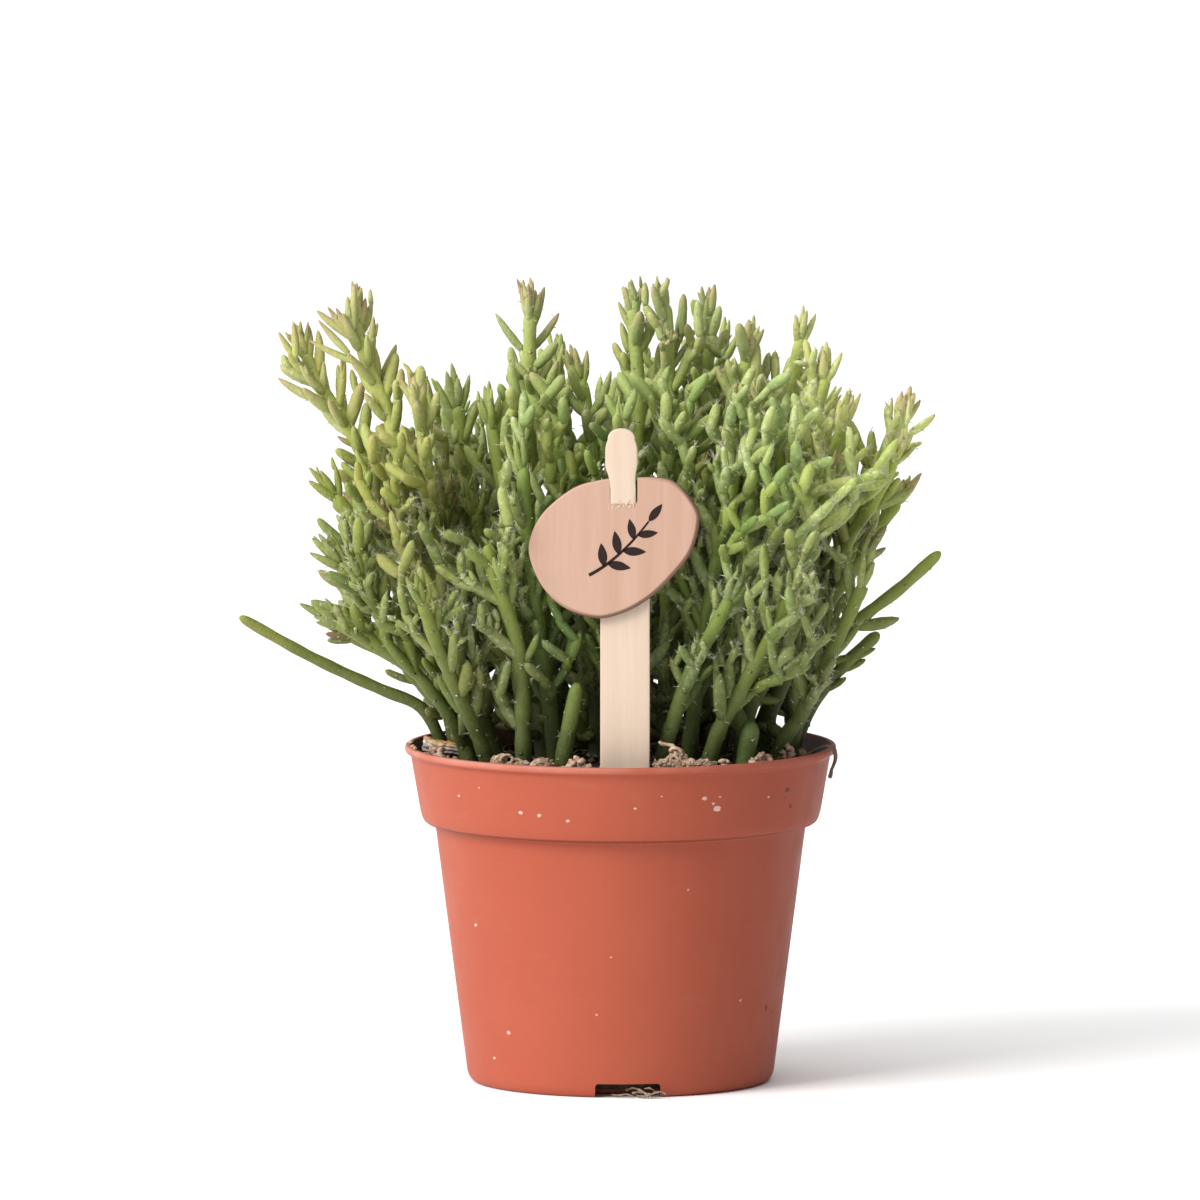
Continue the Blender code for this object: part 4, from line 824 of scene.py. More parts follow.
# single shoots that give the bush its outline: foot and tip across and up (as seen from the front), thickness, kind
OUTLYING = [
    (-66.8, 150.1, -70.9, 157.0, 0.8, "horn"), (-67.2, 151.8, -67.7, 159.1, 0.8, "horn"), (-65.7, 153.5, -65.2, 159.4, 0.55, "dart"),
    (-66.3, 152.8, -66.3, 157.5, 0.5, "dart"), (-63.6, 142.6, -71.3, 147.4, 0.95, "horn"), (-62.2, 144.4, -61.7, 151.2, 0.75, "horn"),
    (-59.0, 144.4, -58.8, 150.3, 0.7, "horn"), (-57.2, 154.7, -63.2, 161.5, 0.95, "horn"), (-57.6, 153.3, -62.4, 159.1, 0.8, "dart"),
    (-57.4, 154.9, -61.1, 162.5, 0.8, "dart"), (-58.0, 156.6, -59.4, 161.7, 0.8, "dart"), (-56.5, 156.8, -57.2, 164.2, 0.85, "horn"),
    (-56.1, 156.8, -55.5, 167.1, 1.0, "horn"), (-55.1, 156.8, -53.6, 165.9, 0.8, "horn"), (-52.8, 151.8, -51.3, 159.8, 0.9, "horn"),
    (-55.1, 150.7, -64.5, 154.9, 0.85, "horn"), (-49.6, 146.5, -46.7, 153.9, 1.0, "horn"), (-46.3, 141.7, -45.3, 149.3, 1.1, "low"),
    (-42.7, 142.8, -41.7, 150.1, 1.45, "low"), (-20.8, 163.1, -21.7, 168.4, 0.5, "dart"), (-17.3, 158.1, -15.8, 166.5, 0.95, "horn"),
    (-21.5, 154.3, -25.8, 160.8, 0.95, "horn"), (-17.3, 153.1, -12.3, 160.8, 0.9, "horn"), (-21.5, 146.8, -23.3, 153.7, 1.1, "low"),
    (-16.9, 149.7, -13.5, 154.9, 1.2, "low"), (-15.6, 145.3, -13.1, 150.7, 1.0, "horn"), (-23.1, 142.3, -25.4, 146.1, 1.0, "low"),
    (-7.7, 143.6, -10.8, 152.0, 1.3, "low"), (-9.3, 144.2, -12.3, 146.1, 0.55, "dart"), (-5.2, 142.8, -4.3, 147.4, 0.8, "low"),
    (3.2, 163.8, 1.5, 167.8, 0.8, "horn"), (5.1, 163.8, 4.9, 167.5, 0.85, "horn"), (6.5, 164.0, 7.4, 168.8, 0.5, "dart"),
    (7.6, 164.0, 10.1, 168.6, 0.85, "horn"), (2.8, 156.6, -0.8, 163.1, 0.8, "horn"), (1.1, 150.3, -1.6, 154.7, 1.0, "low"),
    (1.5, 152.8, 0.1, 159.6, 0.9, "horn"), (12.8, 156.2, 12.8, 165.4, 1.0, "low"), (15.7, 156.2, 15.7, 163.1, 1.05, "low"),
    (17.0, 156.8, 18.2, 165.0, 0.6, "horn"), (19.5, 156.4, 20.9, 162.9, 1.05, "low"), (18.8, 151.2, 23.0, 156.4, 0.45, "dart"),
    (26.1, 150.3, 26.6, 160.0, 1.05, "low"), (27.8, 145.3, 28.4, 155.2, 1.2, "low"), (32.0, 147.4, 32.4, 153.3, 1.0, "low"),
    (30.1, 147.4, 30.7, 152.8, 0.9, "low"), (43.9, 130.2, 48.3, 144.7, 1.0, "horn"), (41.6, 139.2, 45.8, 143.4, 0.5, "dart"),
    (41.6, 137.3, 44.7, 139.0, 0.45, "dart"), (56.2, 132.9, 56.8, 138.8, 1.4, "low"), (56.6, 138.6, 56.8, 143.4, 0.5, "dart"),
    (59.8, 137.1, 60.2, 143.6, 0.5, "dart"), (58.5, 132.9, 60.6, 136.0, 0.95, "horn"), (60.6, 135.6, 65.4, 139.4, 0.95, "horn"),
    (52.5, 127.7, 52.7, 136.0, 0.75, "horn"), (49.3, 126.6, 49.5, 130.4, 0.35, "dart"), (53.3, 119.9, 61.6, 124.5, 1.15, "horn"),
    (47.4, 110.9, 53.7, 115.3, 0.95, "horn"), (43.3, 104.6, 49.3, 108.5, 1.1, "horn"), (43.3, 99.5, 48.1, 101.8, 1.2, "low"),
    (48.9, 98.7, 51.0, 103.3, 0.75, "horn"), (49.5, 94.9, 57.9, 97.4, 1.3, "horn"), (44.5, 87.8, 53.7, 90.7, 1.0, "horn"),
    (44.9, 86.5, 51.0, 88.2, 0.8, "low"), (42.0, 81.5, 47.2, 84.4, 0.8, "low"), (-58.2, 112.1, -63.4, 117.6, 1.1, "low"),
    (-57.6, 103.9, -63.2, 106.7, 1.0, "low"), (-57.6, 98.3, -64.5, 100.8, 1.0, "low"), (-56.1, 91.3, -61.3, 92.4, 0.9, "low"),
    (-45.3, 81.9, -49.4, 86.3, 0.9, "low"), (-56.1, 132.3, -59.2, 135.2, 0.7, "dart"), (-54.4, 126.0, -58.4, 130.0, 0.9, "low"),
]
# how yellow (0) or blue-green (1) each cutting is on the whole, and how bronzed its growing end is
TONE = {"stem_left_crown": (0.05, 0.9), "stem_left_high": (0.10, 1.0), "stem_left_mid": (0.25, 0.25), "stem_left_low": (0.35, 0.1),
        "stem_left_long": (0.10, 0.2), "stem_left_spire": (0.30, 1.0), "stem_centre": (0.45, 0.8), "stem_centre_right": (0.40, 0.9),
        "stem_right_high": (0.25, 0.35), "stem_right_mid": (0.30, 0.8), "stem_right_long": (0.25, 0.2), "stem_right_inner": (0.35, 0.5),
        "stem_centre_left": (0.5, 0.6), "stem_left_inner": (0.40, 0.2), "stem_behind_tag": (0.65, 0.2), "stem_behind_tag_left": (0.65, 0.1),
        "stem_behind_tag_right": (0.60, 0.1), "stem_front_left": (0.30, 0.0), "stem_front_upright": (0.35, 0.0),
        "stem_front_straight": (0.60, 0.0), "stem_front_right": (0.45, 0.0), "stub_front_left": (0.55, 0.0), "stub_front_right": (0.75, 0.0),
        "stub_leaning": (0.8, 0.0), "stem_right_low": (0.35, 0.1), "stem_right_front": (0.40, 0.1)}
END_CUT = 5.0     # the growing end's own shoots make up the last of each stem's length


def bent(a, way, length, lift, ts):
    """Points along a shoot that starts at a, leaves along way and bends towards lift."""
    return [a + way * (length * t) + lift * (length * t * t) for t in ts]


def along_line(line):
    run = [0.0]
    for k in range(1, len(line)):
        run.append(run[-1] + (line[k] - line[k - 1]).length)
    return run


def at_run(line, run, s):
    k = 0
    while k < len(run) - 2 and run[k + 1] < s:
        k += 1
    f = (s - run[k]) / max(1e-6, run[k + 1] - run[k])
    return line[k].lerp(line[k + 1], min(1.0, max(0.0, f))), (line[k + 1] - line[k]).normalized()


def cut_short(line, keep):
    """The line up to the length `keep`."""
    run = along_line(line)
    end, _ = at_run(line, run, keep)
    return [p for p, s in zip(line, run) if s < keep - 0.8] + [end]


def frosting(p):
    """Where the bush is crowded with short, woolly knobs: 0 to 1."""
    n = mnoise.noise(Vector((p[0] * 0.055 + 3.1, p[1] * 0.05 - 1.7, p[2] * 0.055 + 0.4)))
    low = 1.0 - min(1.0, abs(p[2] - 112.0) / 34.0)
    right = min(1.0, max(0.0, (p[0] - 12.0) / 20.0)) * min(1.0, max(0.0, (p[2] - 104.0) / 14.0))
    return min(1.0, max(0.0, 0.25 + 1.5 * n + 0.45 * low + 0.35 * right))


def airy(p):
    """Where single stems stand clear of each other, with their shoots in pairs: the left crown and the spires."""
    seen_z = p[2] + 0.107 * p[1]
    return (p[0] < -38.0 and seen_z > 137.0) or seen_z > look_up(REACH_TOP, p[0]) - 8.5


class Shoot:
    def __init__(self, leader, at, way, length, lift, r, level, kind, age):
        self.leader, self.at, self.way, self.length, self.lift = leader, at, way, length, lift
        self.r, self.level, self.kind, self.age = r, level, kind, age

    def end(self):
        return self.at + self.way * self.length + self.lift * self.length

    def along(self, f):
        return self.at + self.way * (self.length * f) + self.lift * (self.length * f * f)


# shortest, longest, thinnest and thickest of each kind of shoot, in mm
SIZES = {"spindle": (4.9, 8.0, 0.95, 1.34), "branchlet": (2.8, 4.8, 0.76, 1.02), "knob": (1.4, 2.5, 0.58, 0.84), "low": (6.5, 11.0, 1.15, 1.50),
         "horn": (6.4, 9.6, 0.98, 1.22), "dart": (4.8, 7.6, 0.78, 1.06), "dartlet": (2.0, 3.6, 0.45, 0.66)}
PROFILES = {"spindle": SPINDLE, "branchlet": SPINDLE, "low": SPINDLE, "horn": HORN, "dart": DART, "dartlet": DART, "knob": KNOB}


def size_of(kind, rng):
    a, b, c, d = SIZES[kind]
    return rng.uniform(a, b), rng.uniform(c, d)


def grow_plant():
    clock = time.perf_counter()
    lines, starts = stem_lines()
    main = shoots(lines)
    # every stem that carries shoots: [leader, line, radius at its foot, at its end, level]
    stems = []
    for i, line in enumerate(lines):
        L = along_line(line)[-1]
        bare = STEMS[i][0] in BARE_STUBS or STEMS[i][0] in SPARSE or STEMS[i][0] == "stem_right_long"
        stems.append([i, line if bare else cut_short(line, L - END_CUT), STEMS[i][2], STEMS[i][3] + (0.2 if bare else 0.3), 0])
    crowd = Crowd(26000)
    for i, line, r0, r1, level in stems:
        for k in range(len(line) - 1):
            crowd.add(line[k], line[k + 1], r0 * 0.95)
    grown = []

    def plant(leader, at, way, length, lift, r, level, kind, age, gap, part=0.45, slack=0.0, skip=-9):
        s = Shoot(leader, at, way, length, lift, r, level, kind, age)
        tip = s.end()
        if in_the_way(tip, r) or in_the_way(at.lerp(tip, 0.5), r) or beyond(tip, r, slack):
            return None
        if gap > -5.0 and crowd.clear(at.lerp(tip, part), tip, r, skip) < gap:
            return None
        crowd.add(at, tip, r, len(grown))
        grown.append(s)
        return s

    # the main side shoots, as in the CAD
    for i, at, tip, r in main:
        node = STEMS[i][0]
        if node in BARE_STUBS or (tip - lines[i][-1]).length < 5.0 or beyond(tip, r, 0.5):
            continue
        way = tip - at
        crowd.add(at, tip, r, len(grown))
        grown.append(Shoot(i, at, way.normalized(), way.length, Vector((0, 0, 0.04)), r + 0.1, 1, "spindle", 0.45))

    # side branches: short stems of their own, that bend up beside their parent
    for i, line, r0, r1, level in list(stems):
        node = STEMS[i][0]
        if node in BARE_STUBS or node in SPARSE or node == "stem_right_long":
            continue
        rng = random.Random(6100 + 13 * i)
        run = along_line(line)
        s = rng.uniform(14.0, 20.0) if STEMS[i][1] is None else 8.0
        turn = rng.uniform(0, 360)
        while s < run[-1] - 8.0:
            at, t = at_run(line, run, s)
            side = t.cross(Vector((0.31, 0.95, 0.05))).normalized()
            for attempt in range(9):
                out = Matrix.Rotation(math.radians(turn + 43.0 * attempt), 3, t) @ side
                lean = math.radians(rng.uniform(26, 44))
                way = (t * math.cos(lean) + out * math.sin(lean)).normalized()
                length = rng.uniform(13.0, 23.0) * (1.0 - 0.06 * attempt)
                lift = (Vector((0, 0, 1)) - way * 0.4) * rng.uniform(0.14, 0.32)
                branch = [at + way * (length * f) + lift * (length * f * f) for f in (0.0, 0.2, 0.4, 0.6, 0.8, 1.0)]
                if at.z < 78 or any(in_the_way(p, 2.2) or beyond(p, 4.0) or airy(p) for p in branch[2:]):
                    continue
                if min(crowd.clear(branch[k], branch[k + 1], 1.15) for k in range(2, 5)) < 1.2:
                    continue
                for k in range(5):
                    crowd.add(branch[k], branch[k + 1], 1.15)
                stems.append([i, branch, 1.36, 1.15, 1])
                break
            turn += 137.5
            s += rng.uniform(7.0, 12.0)
    # a crown of pointed young shoots at the end of every stem
    for j, (i, line, r0, r1, level) in enumerate(stems):
        node = STEMS[i][0]
        if node in BARE_STUBS or node in SPARSE or node == "stem_right_long":
            continue
        rng = random.Random(8200 + 17 * j)
        end, t = line[-1], (line[-1] - line[-2]).normalized()
        side = t.cross(Vector((0.31, 0.95, 0.05))).normalized()
        wide = airy(end)
        room = 9.0 if beyond(end + t * 5.0, 1.0) else 1.6
        for q in range(rng.choice((5, 6, 7)) if wide and level == 0 else rng.choice((4, 5, 6))):
            out = Matrix.Rotation(math.radians(137.5 * q + rng.uniform(-20, 20)), 3, t) @ side
            lean = math.radians(5.0 + (5.2 if wide else 6.5) * q + rng.uniform(-4, 4))
            length, r = size_of("dart", rng)
            way = (t * math.cos(lean) + out * math.sin(lean) + Vector((0, 0, 0.08))).normalized()
            lift = (t - way * 0.6) * rng.uniform(0.12, 0.34)
            plant(i, end - t * (0.42 * q) + out * (0.35 if q else 0.0), way, length * (1.0 if level == 0 else 0.85), lift, r * (1.0 if level == 0 else 0.9), 1, "dart", 0.08,
                  -9.0 if q < 4 else -0.7, 0.6, room)
    # short spindles that spiral up every stem, in pairs where the stems stand clear
    spots = []
    for j, (i, line, r0, r1, level) in enumerate(stems):
        node = STEMS[i][0]
        rng = random.Random(7000 + 101 * j)
        run = along_line(line)
        L = run[-1]
        if node in SPARSE or node == "stub_front_right":
            continue
        s = 3.0 if level else (rng.uniform(4.0, 7.0) if STEMS[i][1] is None else 3.5)
        turn = rng.uniform(0, 360)
        second = False
        while s < L - 0.2:
            spots.append((s / L, j, s, turn, rng.random()))
            left = L - s
            at, _ = at_run(line, run, s)
            if airy(at) and left > 3.0:
                turn += 180.0 if not second else 90.0 + rng.uniform(-20, 20)
                s += 0.4 if not second else rng.uniform(2.8, 4.2)
                second = not second
            else:
                turn += 137.5 + rng.uniform(-16, 16)
                s += rng.uniform(1.8, 2.5)
    spots.sort(key=lambda q: (-round(q[0], 1), q[4], q[1]))
    for f, j, s, turn, luck in spots:
        i, line, r0, r1, level = stems[j]
        node = STEMS[i][0]
        run = along_line(line)
        left = run[-1] - s
        at, t = at_run(line, run, s)
        rng = random.Random(int(s * 977) + 31 * j)
        low = at.z < (90.0 if at.y < -6.0 and at.x < 26.0 else 84.0)
        if node == "stem_right_long" and left < 24:
            continue
        if node in BARE_STUBS and (luck > 0.2 or left < 6):
            continue
        if at.z < 71.5 or (low and luck > (0.40 if at.y < -6.0 else 0.62)):
            continue
        crown = left < 3.0 and node not in BARE_STUBS
        kind = "dart" if crown else ("low" if low else ("horn" if airy(at) else "spindle"))
        side = t.cross(Vector((0.31, 0.95, 0.05))).normalized()
        for attempt in range(5):
            out = Matrix.Rotation(math.radians(turn + attempt * 47.0), 3, t) @ side
            length, r = size_of(kind, rng)
            if crown:
                lean = math.radians(rng.uniform(10, 22) + 3.2 * left)
            else:
                lean = math.radians(rng.uniform(38, 58) if kind == "horn" else rng.uniform(30, 50))
                length *= 1.0 - 0.05 * attempt
            way = (t * math.cos(lean) + out * math.sin(lean) + Vector((0, 0, 0.20))).normalized()
            lift = (t - way * 0.5) * rng.uniform(0.14, 0.32) + Vector((0, 0, rng.uniform(0.04, 0.16)))
            if plant(i, at + out * r0 * 0.4, way, length, lift, r, 1, kind, 0.08 if crown else 0.35 + 0.25 * min(1.0, left / 60.0),
                     -0.45 if crown else -0.2, 0.6 if crown else 0.5, 1.2 if kind == "horn" else (4.0 if node == "stem_right_front" else 0.0)):
                break
    print("first spindles", len(grown), "stems", len(stems), round(time.perf_counter() - clock, 1))
    # shorter ones on the ends and flanks of those, ending in small woolly knobs
    level = list(grown)
    first_of_level = 0
    for depth in (2, 3):
        before = len(grown)
        for n, parent in enumerate(level):
            rng = random.Random(90000 * depth + 37 * n + parent.leader)
            young = parent.kind in ("dart", "dartlet", "horn")
            own = n if depth == 2 else first_of_level + n
            end = parent.end()
            frost = frosting(end)
            if buried(end):
                continue
            if young:
                count = 0 if depth > 2 else rng.choice((0, 1, 1))
            elif airy(end):
                count = rng.choice((0, 0, 1)) if depth == 2 else 0
            elif end.z < 86.0:
                count = rng.choice((0, 0, 1)) if depth == 2 else 0
            elif depth == 2:
                count = rng.choice((0, 1, 1, 2)) if frost < 0.42 else rng.choice((2, 3, 3, 4))
            else:
                count = rng.choice((0, 0, 1, 1)) if frost < 0.45 else rng.choice((0, 1, 2))
            t = (parent.way + parent.lift * 2).normalized()
            side = t.orthogonal().normalized()
            turn = rng.uniform(0, 360)
            for q in range(count):
                for attempt in range(4):
                    out = Matrix.Rotation(math.radians(turn + 360.0 * q / count + attempt * 41.0), 3, t) @ side
                    f = rng.uniform(0.45, 0.95)
                    if young:
                        kind, lean = "dartlet", rng.uniform(16, 34)
                    elif rng.random() < (0.72 if frost > 0.45 else 0.35):
                        kind, lean = "knob", rng.uniform(26, 60)
                    else:
                        kind, lean = "branchlet", rng.uniform(20, 40)
                    length, r = size_of(kind, rng)
                    lean = math.radians(lean)
                    way = (t * math.cos(lean) + out * math.sin(lean) + Vector((0, 0, 0.22))).normalized()
                    if plant(parent.leader, parent.along(f), way, length + parent.r * 0.6, Vector((0, 0, rng.uniform(0.0, 0.14))), r, depth, kind,
                             0.06 if young else max(0.22, parent.age - 0.08), -0.25, 0.55, 1.0, own):
                        break
        level = grown[before:]
        first_of_level = before
    # shoots into what is still open, along the way that their neighbours grow
    before = len(grown)
    opened = []
    rng = random.Random(77)
    for gx in np.arange(-70, 68, 4.2):
        for gy in np.arange(-48, 62, 4.6):
            for gz in np.arange(73, 150, 4.2):
                p = Vector((gx + rng.uniform(-1.6, 1.6), gy + rng.uniform(-1.6, 1.6), gz + rng.uniform(-1.6, 1.6)))
                if p.z < (84.0 if p.y < -12.0 else 72.5) or airy(p) or p.z + 0.107 * p.y > look_up(REACH_TOP, p.x) - 10.0:
                    continue
                deep = p.z < 92.0 and p.y > -12.0
                if buried(p) or beyond(p, 1.2, -1.0 if deep else -4.0) or in_the_way(p, 1.2):
                    continue
                opened.append((p.z, p))
    for z, p in sorted(opened, key=lambda q: q[0]):
        which, d, t = crowd.gaps(np.array(p), 12.0)
        deep = p.z < 92.0 and p.y > -12.0
        if len(which) == 0 or d.min() < (2.6 if deep else 2.0):
            continue
        for q in np.argsort(d)[:6]:
            k = int(which[q])
            a, b = Vector(crowd.A[k]), Vector(crowd.B[k])
            at = a.lerp(b, min(0.9, max(0.2, float(t[q]) - 0.25)))
            way = p - at
            if way.length > (13.0 if deep else 7.5) or way.length < 2.5:
                continue
            growth = Vector((p.x * 0.012, (p.y - 4) * 0.012, 1.0)).normalized()
            if way.normalized().dot(growth) < (0.05 if deep else 0.62):
                continue
            tag = int(crowd.tag[k])
            leader = grown[tag].leader if tag >= 0 else min(range(len(lines)), key=lambda q: min((w - at).length for w in lines[q]))
            if STEMS[leader][0] in SPARSE or STEMS[leader][0] in BARE_STUBS:
                continue
            length = min(12.0 if deep else 7.5, way.length + 1.0)
            kind = "low" if deep and length > 6.0 else ("spindle" if length > 5.2 else ("branchlet" if length > 3.0 else "knob"))
            r = size_of(kind, rng)[1]
            if plant(leader, at, way.normalized(), length, Vector((0, 0, 0.12)), r, 2, kind, 0.4, -0.25, 0.5):
                break
    late = grown[before:]
    print("shoots", len(grown), "opened", len(late), round(time.perf_counter() - clock, 1))
    # the outlying shoots, each on the nearest stem or shoot that stands there
    n = crowd.n
    A, B = crowd.A[:n].copy(), crowd.B[:n].copy()
    seen_a = np.stack([A[:, 0], A[:, 2] + 0.107 * A[:, 1]], 1)
    seen_b = np.stack([B[:, 0], B[:, 2] + 0.107 * B[:, 1]], 1)
    span_ab = seen_b - seen_a
    for row, (x0, z0, x1, z1, r, kind) in enumerate(OUTLYING):
        foot = np.array((x0, z0))
        t = np.clip(((foot - seen_a) * span_ab).sum(1) / ((span_ab * span_ab).sum(1) + 1e-9), 0.05, 0.9)
        at_k = A + (B - A) * t[:, None]
        d = ((seen_a + span_ab * t[:, None] - foot) ** 2).sum(1) + 0.004 * at_k[:, 1] ** 2
        for k in np.argsort(d)[:8]:
            tag = int(crowd.tag[k])
            at = Vector(at_k[k])
            leader = grown[tag].leader if tag >= 0 else min(range(len(lines)), key=lambda q: min((w - at).length for w in lines[q]))
            if STEMS[leader][0] not in SPARSE and STEMS[leader][0] not in BARE_STUBS:
                break
        rng = random.Random(4400 + row)
        y = at.y + rng.uniform(-1.0, 1.0)
        tip = Vector((x1, y, min(z1 - 0.107 * y, 169.4 - r)))
        length = (tip - at).length
        lift = Vector((0, 0, rng.uniform(0.10, 0.22)))
        s = Shoot(leader, at, (tip - at) / length - lift, length, lift, r, 1, kind, 0.12 if kind != "low" else 0.35)
        crowd.add(at, tip, r, len(grown))
        grown.append(s)
    # the last of the knobs, over what faces outwards
    for n, parent in enumerate(list(grown)):
        rng = random.Random(55000 + 7 * n)
        end = parent.end()
        if parent.kind not in ("spindle", "branchlet") or buried(end) or airy(end) or end.z < 88.0 or frosting(end) < 0.36 or end.y > 22.0 or len(grown) > 5250:
            continue
        t = (parent.way + parent.lift * 2).normalized()
        side = t.orthogonal().normalized()
        for q in range(rng.choice((0, 1, 2))):
            out = Matrix.Rotation(rng.uniform(0, 6.28), 3, t) @ side
            length, r = size_of("knob", rng)
            way = (t * 0.75 + out * rng.uniform(0.4, 1.0) + Vector((0, 0, 0.25))).normalized()
            plant(parent.leader, parent.along(rng.uniform(0.3, 0.98)), way, length * 0.8 + parent.r * 0.7, Vector((0, 0, 0.05)), r * 0.85, 3, "knob", parent.age, -0.3, 0.6, 1.0, n)
    print("with knobs", len(grown), round(time.perf_counter() - clock, 1))
    # meshes
    bags = {}
    for row, (i, line, r0, r1, level) in enumerate(stems):
        node = STEMS[i][0]
        bag = bags.setdefault(node, Bag())
        rng = random.Random(300 + row)
        tone, bronze = TONE.get(node, (0.45, 0.1))
        r0 += 0.08 if level == 0 else 0.0
        line = list(line)
        skip = 0
        if STEMS[i][1] is None and level == 0:
            ground, lean = starts[i]
            line = [ground - lean * 8.6, ground - lean * 3.0] + line
            skip = 2
        if node == "stem_left_long":
            r0, r1 = 1.40, 1.12
        knots = line[::2] + ([line[-1]] if len(line) % 2 == 0 else [])
        smooth = smooth_line([tuple(p) for p in knots], 1.5)
        run = along_line(smooth)
        L = run[-1]
        if node == "stem_right_long":
            smooth = [p + Vector((0, 0, 2.0 * (s / L) ** 2)) for p, s in zip(smooth, run)]
            run = along_line(smooth)
            L = run[-1]
        smooth = [p for p, s in zip(smooth, run) if s < L - 2.6] + [at_run(smooth, run, L - q)[0] for q in (2.4, 1.6, 1.0, 0.55, 0.25, 0.06)]
        run = along_line(smooth)
        L = run[-1] + 0.06
        joints = [] if node == "stem_left_long" else [9.5 * k + rng.uniform(-1.5, 1.5) for k in range(2, int(L / 9.5))]
        radii, ages, alongs = [], [], []
        for k, s in enumerate(run):
            r = r0 + (r1 - r0) * s / L
            pinch = sum(math.exp(-((s - j) / 1.2) ** 2) for j in joints)
            swell = 0.045 * math.sin(0.8 * s + i)
            r *= 1.0 - 0.12 * min(1.0, pinch) + swell
            end = L - s
            if end < 2.4:
                r *= math.sqrt(max(0.02, 1.0 - (1.0 - end / 2.4) ** 2))
            radii.append(r)
            old = min(1.0, max(0.0, (118.0 - smooth[k].z) / 50.0))
            ages.append(0.30 + 0.55 * old if end > 10 else 0.12 + 0.018 * end)
            alongs.append(0.3)
        bag.tube(smooth, radii, 12 if level == 0 else 9, ages, tone, 0.015, 0.3 * i, 0, alongs, bronze=0.0)
        s = 11.0 if skip else 4.0
        turn = rng.uniform(0, 6)
        quiet = node == "stem_left_long"
        while s < L - 1.0:
            k = min(range(len(run)), key=lambda q: abs(run[q] - s))
            t = (smooth[min(k + 1, len(run) - 1)] - smooth[max(0, k - 1)]).normalized()
            up = t.orthogonal().normalized()
            out = (up * math.cos(turn) + t.cross(up) * math.sin(turn)).normalized()
            spot = smooth[k] + out * radii[k]
            if not quiet:
                bag.dot(spot, out, rng.uniform(0.45, 0.65), rng.uniform(0.10, 0.26), 0, ages[k], tone)
            bag.dot(spot + out * (0.0 if quiet else 0.12), out, rng.uniform(0.17, 0.28) * (0.7 if quiet else 1.0), rng.uniform(0.08, 0.14))
            for _ in range(0 if quiet else rng.choice((0, 1, 2, 3))):
                w = (out + t * rng.uniform(-0.2, 0.9) + Vector([rng.uniform(-0.5, 0.5) for _ in range(3)])).normalized()
                bag.hair(spot, w, rng.uniform(0.7, 2.0), 0.045)
            turn += 2.4
            s += rng.uniform(1.6, 2.8)
    for n, s in enumerate(grown):
        node = STEMS[s.leader][0]
        bag = bags[node]
        rng = random.Random(40000 + 13 * n)
        tone, bronze = TONE.get(node, (0.45, 0.1))
        profile = PROFILES[s.kind]
        small = s.kind in ("knob", "dartlet")
        hidden = buried(s.end())
        if hidden or small:
            profile = [profile[0]] + profile[2:-2:2] + profile[-2:]
        ts = [p[0] for p in profile]
        curve = s.lift + Vector([rng.uniform(-0.06, 0.06) for _ in range(3)])
        pts = bent(s.at, s.way, s.length, curve, ts)
        waist = rng.uniform(0.93, 1.07)
        radii = [s.r * p[1] * (waist if 0.2 < p[0] < 0.8 else 1.0) * (1.0 + (rng.uniform(-0.05, 0.05) if 0.1 < p[0] < 0.9 else 0.0)) for p in profile]
        tip = pts[-1]
        frost = frosting(tip)
        pick = min(1.0, max(0.0, tone + rng.uniform(-0.22, 0.26)))
        blush = bronze * rng.uniform(0.5, 1.0) * (0.6 if s.kind == "horn" else 1.0) if s.age < 0.2 else bronze * (0.6 if s.kind == "horn" else (0.55 if tip.z > 134.0 else 0.25)) * rng.random()
        wool = frost * rng.uniform(0.5, 1.0) + (0.25 if small and not s.age < 0.2 else 0.0)
        bag.tube(pts, radii, 5 if hidden or small else (6 if tip.y > 12.0 or s.kind == "branchlet" else 7), s.age, pick, 0.02, rng.uniform(0, 1), 0, bronze=blush, frost=wool)
        t_end = (pts[-1] - pts[-2]).normalized()
        if hidden:
            continue
        far = tip.y > 12.0
        u, turn = 0.20, rng.uniform(0, 6)
        gap = (1.7 if frost > 0.5 else 2.1) / s.length * (1.5 if far else 1.0)
        while u < 0.94 and not (small and u > 0.75):
            c = s.at + s.way * (s.length * u) + curve * (s.length * u * u)
            t = (s.way + curve * 2 * u).normalized()
            up = t.orthogonal().normalized()
            out = (up * math.cos(turn) + t.cross(up) * math.sin(turn)).normalized()
            k = max(q for q in range(len(ts)) if ts[q] <= u)
            f = (u - ts[k]) / (ts[k + 1] - ts[k])
            rr = radii[k] * (1 - f) + radii[k + 1] * f
            spot = c + out * rr
            bag.dot(spot + out * 0.08, out, rng.uniform(0.13, 0.22), rng.uniform(0.08, 0.14))
            for _ in range(rng.choice((0, 1, 1, 2)) if frost < 0.5 else rng.choice((1, 2, 3, 4))):
                w = (out + t * rng.uniform(0.0, 1.1) + Vector([rng.uniform(-0.45, 0.45) for _ in range(3)])).normalized()
                bag.hair(spot, w, rng.uniform(0.7, 1.9), 0.060 if frost > 0.5 else 0.048)
            turn += 2.4
            u += gap * rng.uniform(0.8, 1.25)
        if s.kind in ("dart", "dartlet", "horn"):
            tuft = rng.choice((1, 2))
        elif frost > 0.42 and rng.random() < 0.36 and not far:
            tuft = rng.choice((8, 10, 13))
        else:
            tuft = rng.choice((2, 3, 5))
        for _ in range(tuft):
            w = (t_end * rng.uniform(0.4, 1.4) + Vector([rng.uniform(-0.85, 0.85) for _ in range(3)])).normalized()
